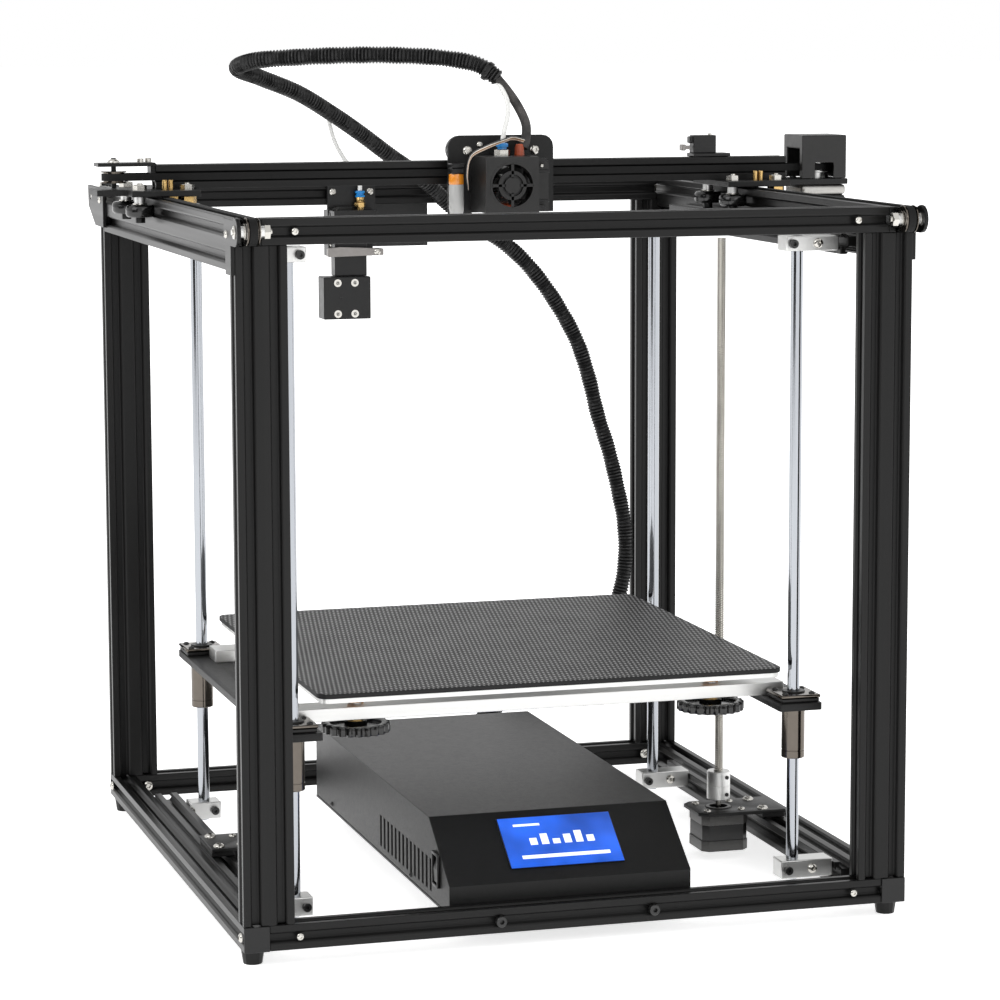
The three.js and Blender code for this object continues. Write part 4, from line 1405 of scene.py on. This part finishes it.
@dataclass
class Extruder:
    """The filament drive, its lever, its sensor and its feed tube."""

    plate_front: float = 265.7
    fitting: Triple = (-38.0, 259.5, 547.0)

    def build(self) -> None:
        """Builds the feed group."""
        Bench.dress("extruder_drive", PLASTIC, 0.7)
        Bench.dress("filament_sensor", PLASTIC, 0.9)
        Bench.dress("extruder_lever", GREY_METAL, 0.8)
        face = self.plate_front
        screws = Fasteners("extruder_plate_screws", "root", STEEL)
        for x in (-62.0, -27.0):
            for z in (545.0, 564.0):
                screws.add(Head.BUTTON, (x, face, z), (0, -1, 0), 3.6)
        screws.add(Head.BUTTON, (-26.0, 244.0, 510.0), (0, -1, 0), 3.6)
        for x in (-62.0, -38.0):
            screws.add(Head.BUTTON, (x, 268.0, 516.0), (0, -1, 0), 3.2)
        screws.make()
        box = Box.of("filament_sensor")
        rings = Fasteners("sensor_screws", "root", STEEL)
        dark = Fasteners("sensor_screw_sockets", "root", BLACK_STEEL, "black_sheet")
        for x in (box.x0 + 13, box.x0 + 29):
            for z in (box.z0 + 5, box.z1 - 5.5):
                rings.add(Head.WASHER, (x, box.y0, z), (0, -1, 0), 3.5)
                dark.add(Head.BUTTON, (x, box.y0, z), (0, -1, 0), 1.5)
        dark.add(Head.BUTTON, (box.x0 + 16, box.y0 + 0.2, box.z0 + 20), (0, -1, 0), 1.3)
        rings.make()
        dark.make()
        x, y, low = self.fitting
        collet = Bench.turned("feed_collet", [(0, 5.6), (3.6, 5.6), (4.4, 5.0), (4.4, 3.6), (3.4, 3.4),
                                              (3.4, 1.6), (4.4, 1.4),
                                              (4.4, 0), (0, 0)], Axis.Z, (x, y, low + 12.4), 32)
        Bench.settle(collet, BLUE, "root", "black_plastic")
        nut = Fasteners("feed_fitting_nut", "root", BRASS, "brass_fitting")
        nut.add(Head.NUT, (x, y, low + 3.6), (0, 0, 1), 4.9)
        nut.make()
        neck = Bench.turned("feed_fitting_body", [(0, 12.6), (3.6, 12.6), (4.0, 12.0), (4.0, 8.4),
                                                  (3.2, 8.2), (3.2, 0),
                                                  (0, 0)], Axis.Z, (x, y, low), 32)
        Bench.settle(neck, BRASS, "root", "brass_fitting")
        arm = Bench.cut_sheet("extruder_arm", [(-66.4, 538.6), (-46, 538.6), (-46, 551), (-59, 551),
                                               (-63, 550),
                                               (-65.6, 547.6), (-66.4, 544)], Axis.Y, 258.0,
                                               self.plate_front, [], 0.6)
        Bench.settle(arm, SHROUD, "root", "black_plastic")
        bolt = Fasteners("extruder_arm_screw", "root", STEEL)
        bolt.add(Head.BUTTON, (-60.0, 258.1, 545.0), (0, -1, 0), 3.6)
        bolt.make()


# ---------------------------------------------------------------- the head


@dataclass
class PrintHead:
    """The carriage plate, its wheels, shroud, fans, hot end and probe."""

    x: float = 33.0
    plate_front: float = 45.0
    fan: Triple = (28.5, -9.5, 580.0)
    bore: Pair = (28.5, 26.0)
    blades: int = 7

    def build(self) -> None:
        """Builds the head."""
        Bench.dress("head_plate", SHEET, 0.6)
        Bench.dress("fan_shroud", SHROUD, 0.7)
        self.blower()
        self.hub()
        self.grille()
        self.carriage()
        self.hotend()
        self.probe()

    @staticmethod
    def blower() -> None:
        """Builds the side blower's ribs, lugs and screw beside the shroud."""
        box = Box.of("fan_shroud")
        left, front = box.x1 - 11.6, box.y0 + 11.6
        ribs = [(left + 1.2, box.x1 + 0.5, front - 0.6, front + 24, box.z1 - 14, box.z1 - 11.4),
                (left + 1.2, box.x1 + 0.5, front - 0.6, front + 24, box.z0 + 8, box.z0 + 10.4),
                (left + 0.6, box.x1 - 4, front - 4, front + 0.4, box.z0 + 0.6, box.z0 + 6),
                (left + 0.6, box.x1 - 3, front - 5, front + 0.4, box.z1 - 5, box.z1 - 1.6)]
        Bench.settle(Bench.blocks("blower_ribs", ribs, 0.5), PLASTIC, "head", "black_plastic")
        screw = Fasteners("blower_screw", "head", STEEL)
        screw.add(Head.BUTTON, (box.x1 - 6.4, front - 0.5, box.z1 - 8), (0, -1, 0), 1.8)
        screw.make()

    def hub(self) -> None:
        """Builds the fan's rotor with swept blades."""
        box = Box.of("fan_rotor")
        x, z = box.x, box.z
        low, high = box.y0, box.y1
        boss = Bench.turned("fan_hub", [(0, 5), (8.4, 5), (9.6, 4), (9.6, -4), (0, -4)], Axis.Y,
                            (x, (low + high) / 2, z), 40)
        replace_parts(Bench.settle(boss, SHROUD, "fan", "black_plastic"), "fan_rotor")
        cage = bmesh.new()
        radius = (box.x1 - box.x0) / 2 - 0.4
        for blade in range(self.blades):
            base = 2 * math.pi * blade / self.blades
            rows = []
            for step in range(6):
                reach = 9 + (radius - 9) * step / 5
                row = []
                for side, depth in ((-0.30, -3.4), (0.0, 0.0), (0.30, 3.4)):
                    angle = base + side + step * 0.07
                    for shift in (-0.35, 0.35):
                        row.append(cage.verts.new(Spot.at(x + reach * math.cos(angle),
                                                          (low + high) / 2 + depth + shift,
                                                          z + reach * math.sin(angle))))
                rows.append(row)
            order = (0, 2, 4, 5, 3, 1)
            for near, far in zip(rows, rows[1:]):
                for spot in range(6):
                    a, b = order[spot], order[(spot + 1) % 6]
                    cage.faces.new((near[a], near[b], far[b], far[a]))
            cage.faces.new([rows[0][spot] for spot in order])
            cage.faces.new([rows[-1][spot] for spot in reversed(order)])
        Bench.settle(Bench.mesh("fan_blades", cage), SHROUD, "fan", "black_plastic")

    def grille(self) -> None:
        """Builds the fan guard: rings, spokes and a plain round badge."""
        shroud = Box.of("fan_shroud")
        x, z = self.fan[0], self.fan[2]
        front = shroud.y0 + 0.4
        for name, outer, inner in (("rim", 19.6, 18.0), ("middle", 12.4, 9.4)):
            ring = Bench.turned(f"fan_guard_{name}", [(inner, 0.8), (outer, 0.8), (outer, -0.8),
                                                      (inner, -0.8), (inner, 0.8)],
                                Axis.Y, (x, front, z), 48)
            Bench.settle(ring, SHROUD, "head", "black_plastic")
        spokes = [(x - 18.6, x - 6, front - 0.8, front + 0.8, z - 1.3, z + 1.3),
                  (x + 6, x + 18.6, front - 0.8, front + 0.8,
                                                                                 z - 1.3, z + 1.3),
                  (x - 1.3, x + 1.3, front - 0.8, front + 0.8, z - 18.6, z - 6),
                  (x - 1.3, x + 1.3, front - 0.8,
                                                                                 front + 0.8, z + 6,
                                                                                     z + 18.6)]
        Bench.settle(Bench.blocks("fan_guard_spokes", spokes, 0.2), SHROUD, "head", "black_plastic")
        boss = Bench.turned("fan_guard_boss", [(0, 0.8), (6.6, 0.8), (7.0, 0.4), (7.0, -0.8), (0, -0.8)],
                            Axis.Y,
                            (x, front, z), 36)
        Bench.settle(boss, SHROUD, "head", "black_plastic")

    def carriage(self) -> None:
        """Builds the plate's wheels, spacers and screws."""
        screws = Fasteners("head_plate_screws", "head", STEEL)
        for x, z in ((3.0, 608.0), (63.0, 608.0), (33.0, 570.0)):
            wheel = Bench.turned(f"head_wheel_{int(x)}", wheel_profile(WHEEL_RADIUS, WHEEL_HALF),
                                 Axis.Y, (x, 70.0, z), 48)
            Bench.settle(wheel, KNOB, "head", "black_plastic")
            screws.add(Head.BUTTON, (x, self.plate_front, z), (0, -1, 0), 4.6)
            spacer = Bench.turned(f"head_spacer_{int(x)}", [(0, 64.6), (4.4, 64.6), (4.4, 48.2), (0, 48.2)],
                                  Axis.Y, (x, 0.0, z), 24)
            Bench.settle(spacer, MILLED, "head", "bright_aluminium")
        screws.add(Head.BUTTON, (14.0, self.plate_front, 613.0), (0, -1, 0), 3.0)
        screws.make()

    def hotend(self) -> None:
        """Builds the hot end: finned sink, block, silicone sock and nozzle."""
        box = Box.of("hotend")
        x, y = self.bore
        tip = box.z0
        nozzle = Bench.turned("brass_nozzle", [(0, 9), (3.4, 9), (3.4, 4.4), (2.8, 4), (0.5, 0), (0, 0)],
                              Axis.Z, (x, y, tip), 24)
        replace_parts(Bench.settle(nozzle, BRASS, "head", "brass_fitting"), "hotend")
        sock = Bench.blocks("heater_sock", [(x - 8, x + 8, y - 10, y + 10, tip + 7, tip + 19)], 2.0)
        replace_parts(Bench.settle(sock, RED, "head", "black_plastic"), "hotend")
        fins: list[Pair] = [(4, 32)]
        for count in range(9):
            high = 32 - count * 3.2
            fins += [(10, high), (10, high - 1.2), (5, high - 1.4), (5, high - 3.0)]
        sink = Bench.turned("finned_heat_sink", [*fins, (4, 2)], Axis.Z, (x, y, tip + 21), 32)
        Bench.settle(sink, MILLED, "head", "bright_aluminium")
        nut = Fasteners("head_fitting_nut", "head", STEEL)
        nut.add(Head.NUT, (x, y, 604.0), (0, 0, 1), 6.6)
        nut.make()
        collet = Bench.turned("head_collet", [(0, 5), (4.0, 5), (5.2, 4.2), (5.2, 1.8), (4.0, 1.6),
                                              (4.0, 0), (0, 0)], Axis.Z,
                              (x, y, 609.8), 32)
        Bench.settle(collet, BLUE, "head", "black_plastic")
        boot = Bench.turned("silicone_boot", [(0, 10), (2.8, 10), (3.8, 7), (4.3, 0), (0, 0)], Axis.Z,
                            (45.0, 30.0, 603.6),
                            24)
        Bench.settle(boot, RED, "head", "black_plastic")

    def probe(self) -> None:
        """Builds the levelling probe: black cap, amber band and clear body."""
        box = Box.of("level_probe")
        x, y = box.x, box.y
        cap = Bench.blocks("probe_cap", [(x - 6, x + 6, y - 7, y + 7, 594, 598),
                                         (x - 5.6, x + 5.6, y - 6.6, y + 6.6,
                                                                                  589, 594)], 1.0)
        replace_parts(Bench.settle(cap, PLASTIC, "head", "black_plastic"), "level_probe")
        band = Bench.turned("probe_band", [(0, 589), (6.1, 589), (6.4, 588), (6.4, 581), (6.1, 580),
                                           (0, 580)], Axis.Z, (x, y, 0), 36)
        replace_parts(Bench.settle(band, AMBER, "head", "probe_white"), "level_probe")
        body = Bench.turned("probe_body", [(0, 580), (6.1, 580), (6.4, 579.4), (6.4, 559), (5.4, 554.6),
                                           (4.8, 552.6), (1.4, 552),
                                           (0.9, 550), (0, 550)], Axis.Z, (x, y, 0), 36)
        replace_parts(Bench.settle(body, PROBE_BODY, "head", "probe_white"), "level_probe")


# ---------------------------------------------------------------- the loom


@dataclass
class Loom:
    """The corrugated cable loom, from the control box over the gantry to the head."""

    radius: float = 7.5
    rib: float = 2.9
    lower_route: tuple[Triple, ...] = (
        (50, 183, 62), (51, 202, 64), (64, 222, 74), (95, 238, 90), (138, 245, 108), (178, 248, 134),
        (203, 249, 168), (213, 249, 205), (214, 251, 245), (207, 254, 287), (199, 255, 320), (189, 256, 352),
        (180, 256, 388), (169, 255, 420), (154, 254, 448), (134, 252, 477), (113, 251, 501), (91, 250, 519),
        (60, 249, 538), (38, 246, 556), (14, 238, 577), (-18, 228, 598), (-47, 218, 618), (-76, 205, 636),
        (-110, 192, 655), (-147, 178, 669), (-172, 160, 678))
    upper_route: tuple[Triple, ...] = (
        (-172, 160, 678), (-163, 138, 684), (-135, 118, 687), (-92, 97, 689), (-52, 80, 689), (-10, 64, 686),
        (16, 52, 680), (31, 45, 669))

    def build(self) -> None:
        """Builds both stretches and their end pieces."""
        whole = self.spread(self.lower_route + self.upper_route[1:], 1.0)
        corner = Spot.at(*self.upper_route[0])
        split = min(range(len(whole)), key=lambda i: (whole[i] - corner).length)
        lower, upper = whole[:split + 1], whole[split:]
        gland = Bench.turned("loom_gland", [(7.8, 8), (9.4, 8), (10, 7), (10, 0), (7.8, 0), (7.8, 8)],
                             Axis.Y,
                             (50.0, 182.0, 62.0), 36)
        Bench.settle(gland, PLASTIC, "root", "black_plastic")
        first = self.tube("loom_lower", lower)
        tuple(Spot.at(0, 250, 90))
        tuple(Spot.at(-60, 170, 660))
        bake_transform(first)
        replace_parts(first, "cable_loom")
        tie = self.tie()
        second = self.tube("loom_upper", upper)
        tuple(Spot.at(-172, 160, 678))
        tuple(Spot.at(10, 52, 678))
        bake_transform(second)
        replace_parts(second, "cable_loom")

    @staticmethod
    def spread(route: Sequence[Triple], step: float) -> list[Vector]:
        """Runs an even, smooth line through a route.

        Args:
            route: The route's points in millimetres.
            step: The distance between points in millimetres.

        Returns:
            The line's points in the row frame.
        """
        knots = [Vector(point) for point in route]
        padded = [knots[0] * 2 - knots[1], *knots, knots[-1] * 2 - knots[-2]]
        dense: list[Vector] = []
        for p0, p1, p2, p3 in zip(padded, padded[1:], padded[2:], padded[3:]):
            t1 = math.sqrt((p1 - p0).length)
            t2 = t1 + math.sqrt((p2 - p1).length)
            t3 = t2 + math.sqrt((p3 - p2).length)
            count = 24
            for part in range(count):
                t = t1 + (t2 - t1) * part / count
                a1 = p0 * ((t1 - t) / t1) + p1 * (t / t1)
                a2 = p1 * ((t2 - t) / (t2 - t1)) + p2 * ((t - t1) / (t2 - t1))
                a3 = p2 * ((t3 - t) / (t3 - t2)) + p3 * ((t - t2) / (t3 - t2))
                b1 = a1 * ((t2 - t) / t2) + a2 * (t / t2)
                b2 = a2 * ((t3 - t) / (t3 - t1)) + a3 * ((t - t1) / (t3 - t1))
                dense.append(b1 * ((t2 - t) / (t2 - t1)) + b2 * ((t - t1) / (t2 - t1)))
        dense.append(knots[-1])
        even = [dense[0]]
        left = step
        for start, end in zip(dense, dense[1:]):
            gone = 0.0
            span = (end - start).length
            while span - gone >= left:
                gone += left
                even.append(start.lerp(end, gone / span))
                left = step
            left -= span - gone
        return [Spot.at(*point) for point in even]

    @staticmethod
    def length(line: Sequence[Vector]) -> float:
        """Gives a line's length in metres."""
        return sum((after - before).length for before, after in zip(line, line[1:]))

    def tube(self, name: str, line: Sequence[Vector]) -> bpy.types.Object:
        """Builds a ribbed tube along a line.

        Args:
            name: The piece's name.
            line: The centreline's points in the row frame.

        Returns:
            The tube.
        """
        cage = bmesh.new()
        around = 20
        across = Vector((0, 0, 1))
        loops = []
        for count, point in enumerate(line):
            ahead = (line[min(count + 1, len(line) - 1)] - line[max(count - 1, 0)]).normalized()
            across = (across - ahead * across.dot(ahead)).normalized()
            other = ahead.cross(across)
            wave = math.tanh(2.4 * math.sin(2 * math.pi * count / self.rib))
            radius = (self.radius - 0.7 + 0.7 * wave) * MM
            loop = []
            for step in range(around):
                angle = 2 * math.pi * step / around
                outward = across * math.cos(angle) + other * math.sin(angle)
                loop.append(cage.verts.new(point + outward * radius))
            loops.append(loop)
        for before, after in zip(loops, loops[1:]):
            for step in range(around):
                following = (step + 1) % around
                cage.faces.new((before[step], before[following], after[following], after[step]))
        cage.faces.new(loops[-1])
        cage.faces.new(list(reversed(loops[0])))
        piece = Bench.mesh(name, cage)
        piece.data.materials.append(LOOM.build())
        return piece

    def tie(self) -> bpy.types.Object:
        """Builds the tie round the loom's end."""
        end, before = Vector(self.upper_route[-1]), Vector(self.upper_route[-2])
        ahead = (end - before).normalized()
        data = Bench.turned("loom_end_tie", [(7.3, -9), (8.3, -9), (8.5, -9.6), (8.5, -12.6), (8.3, -13.2),
                                             (7.3, -13.2),
                                             (7.3, -9)], Axis.Z, (0, 0, 0), 32)
        turn = ahead.to_track_quat("Z", "Y").to_matrix().to_4x4()
        base = Matrix.Translation(-Spot.at(0, 0, 0))
        data.data.transform(Matrix.Translation(Spot.at(*end)) @ turn @ base)
        return Bench.settle(data, PLASTIC, "head", "black_plastic")


@dataclass
class FeedLines:
    """The white feed tube, the braided sleeve and the fine wires at the head."""

    def build(self) -> None:
        """Builds the tubes that leave the loom."""
        self.line("feed_tube_head", [(27, 47, 672), (32, 42, 662), (36, 36, 650), (35, 31, 638),
                                     (31, 27.5, 626),
                                     (28.5, 26, 613)], 2.2, PTFE, "head", "stiff")
        drive = self.line("feed_tube_drive", [(-80, 206, 638), (-76, 218, 628), (-66, 238, 610),
                                              (-54, 252, 594),
                                              (-43, 258, 582), (-38.4, 259.5, 573), (-38, 259.5, 562)], 2.0,
                                              PTFE, "", "stiff")
        tuple(Spot.at(-54, 252, 590))
        tuple(Spot.at(-80, 206, 638))
        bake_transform(drive)
        self.line("braided_sleeve", [(30, 45, 669), (38, 43, 659), (47, 40, 645), (53, 37, 630),
                                     (52, 34, 618),
                                     (49, 32, 610)], 4.2, BRAID, "head", "medium")
        wires = ((0.62, 0.50, 0.40), (0.30, 0.16, 0.07), (0.85, 0.80, 0.72), (0.05, 0.05, 0.05))
        for count, tone in enumerate(wires):
            shift = count * 0.9
            route = [(50, 30, 615 + shift), (40, 30 - shift, 617.5 + shift), (28, 18 - shift, 616 + shift),
                     (10, 14, 610 + shift), (-3, 12, 603 + shift), (-6 - shift * 0.3, 13, 590),
                     (-5, 14, 576)]
            self.line(f"probe_wire_{count}", route, 0.5, Finish(f"wire_tone_{count}", tone, 0.4), "head",
                      "medium")

    def line(self, name: str, route: Sequence[Triple], radius: float, finish: Finish, body: str,
             stiffness: str) -> bpy.types.Object:
        """Args:
            name: The piece's name.
            route: The centreline's points in millimetres.
            radius: The radius in millimetres.
            finish: The finish.
            body: The body that it rides on, or nothing for a piece that rides on no body.
            stiffness: How stiff it is; not used.

        Returns:
            The piece.
        """
        smooth = [(point - Spot.at(0, 0, 0)) / MM for point in Loom.spread(route, 2.0)]
        points = [tuple(point) for point in smooth] + [tuple(route[-1])]
        piece = self.solid(Bench.wire(name, points, radius, False, 3))
        if body:
            Bench.settle(piece, finish, body, "black_plastic" if finish is not PTFE else "probe_white")
        else:
            piece.data.materials.append(finish.build())
        path = [Spot.at(*point) for point in points]
        Loom.length(path)
        return piece

    @staticmethod
    def solid(piece: bpy.types.Object) -> bpy.types.Object:
        """Turns a finished curve into a mesh piece of the same name."""
        graph = bpy.context.evaluated_depsgraph_get()
        data = bpy.data.meshes.new_from_object(piece.evaluated_get(graph))
        name = piece.name
        curve = piece.data
        bpy.data.objects.remove(piece)
        bpy.data.curves.remove(curve)
        data.name = name
        data.shade_smooth()
        made = bpy.data.objects.new(name, data)
        bpy.context.collection.objects.link(made)
        return made


# ---------------------------------------------------------------- the studio


@dataclass
class Studio:
    """The camera, the pale floor and the soft light."""

    place: Triple = (-0.8257, -2.8146, 0.7128)
    yaw: float = 16.391
    pitch: float = 7.813
    roll: float = -0.18
    lens: float = 124.155

    def camera(self) -> None:
        """Sets the camera."""
        data = bpy.data.cameras.new("camera")
        data.lens = self.lens
        data.sensor_width = 36
        data.dof.use_dof = False
        data.clip_end = 100
        eye = bpy.data.objects.new("camera", data)
        bpy.context.collection.objects.link(eye)
        turn = (Matrix.Rotation(math.radians(-self.yaw), 4,
                                "Z") @ Matrix.Rotation(math.radians(90 - self.pitch), 4, "X")
                @ Matrix.Rotation(math.radians(self.roll), 4, "Z"))
        eye.matrix_world = Matrix.Translation(self.place) @ turn
        bpy.context.scene.camera = eye

    def room(self) -> None:
        """Builds the floor, the backdrop light and the soft boxes."""
        scene = bpy.context.scene
        scene.view_settings.view_transform = "Standard"
        world = bpy.data.worlds.new("white_room")
        scene.world = world
        world.use_nodes = True
        world.node_tree.nodes["Background"].inputs["Color"].default_value = (1, 1, 1, 1)
        world.node_tree.nodes["Background"].inputs["Strength"].default_value = 1.0
        cage = bmesh.new()
        bmesh.ops.create_grid(cage, x_segments=1, y_segments=1, size=60)
        floor = Bench.mesh("floor", cage, False)
        floor.data.materials.append(Finish("pale_floor", (0.97, 0.97, 0.97), 0.8, specular=0.0, tint=0.0,
                                           bump=0.0, glow=0.75).build())
        self.lamp("key_panel", (-2.4, -1.2, 1.9), (0, 0, 0.35), 1.8, 26)
        self.flag("left_flag", (-3.9, -2.6, 1.2), (0, 0, 1.2), 4.0)
        self.flag("right_flag", (1.3, -4.6, 1.2), (0, 0, 1.2), 1.0)
        self.flag("ceiling_flag", (0.8, 0.3, 2.9), (0, 0, 0.1), 1.7)
        self.lamp("front_panel", (0.8, -3.4, 1.6), (0, 0, 0.35), 1.6, 10)

    @staticmethod
    def flag(name: str, place: Triple, target: Triple, size: float) -> None:
        """Adds one dark card that faces a target, for the dark lines in bright metal.

        Args:
            name: The card's name.
            place: Where it stands, in metres.
            target: The point that it faces.
            size: Its side in metres.
        """
        cage = bmesh.new()
        bmesh.ops.create_grid(cage, x_segments=1, y_segments=1, size=size / 2)
        turn = (Vector(target) - Vector(place)).to_track_quat("Z", "Y").to_matrix().to_4x4()
        bmesh.ops.transform(cage, matrix=Matrix.Translation(place) @ turn, verts=cage.verts)
        card = Bench.mesh(name, cage, False)
        card.data.materials.append(Finish(f"{name}_cloth", (0.01, 0.01, 0.01), 0.9, specular=0.0).build())

    @staticmethod
    def lamp(name: str, place: Triple, target: Triple, size: float, watts: float) -> None:
        """Adds one soft box that faces a target.

        Args:
            name: The lamp's name.
            place: Where it stands, in metres.
            target: The point that it faces.
            size: Its side in metres.
            watts: Its power.
        """
        data = bpy.data.lights.new(name, "AREA")
        data.size = size
        data.energy = watts
        lamp = bpy.data.objects.new(name, data)
        bpy.context.collection.objects.link(lamp)
        lamp.location = place
        lamp.rotation_euler = (Vector(target) - Vector(place)).to_track_quat("-Z", "Y").to_euler()


def corners(span: Iterable[Iterable[float]]) -> list[list[float]]:
    """Turns a box's two corners into plain lists."""
    return [[float(value) for value in corner] for corner in span]


def main() -> None:
    """Builds the whole scene."""
    logging.basicConfig(level=logging.INFO, format="%(message)s")
    FRAME.update(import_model())
    Spot.find()
    studio = Studio()
    studio.camera()
    Loom().build()
    studio.room()
    for part in (FrameDress(), GuideRods(), LiftDrives(), Bed(), ControlBox(), Belts(), Gantry(), YDrive(),
                 Extruder(),
                 PrintHead(), FeedLines()):
        part.build()


if __name__ == "__main__":
    main()
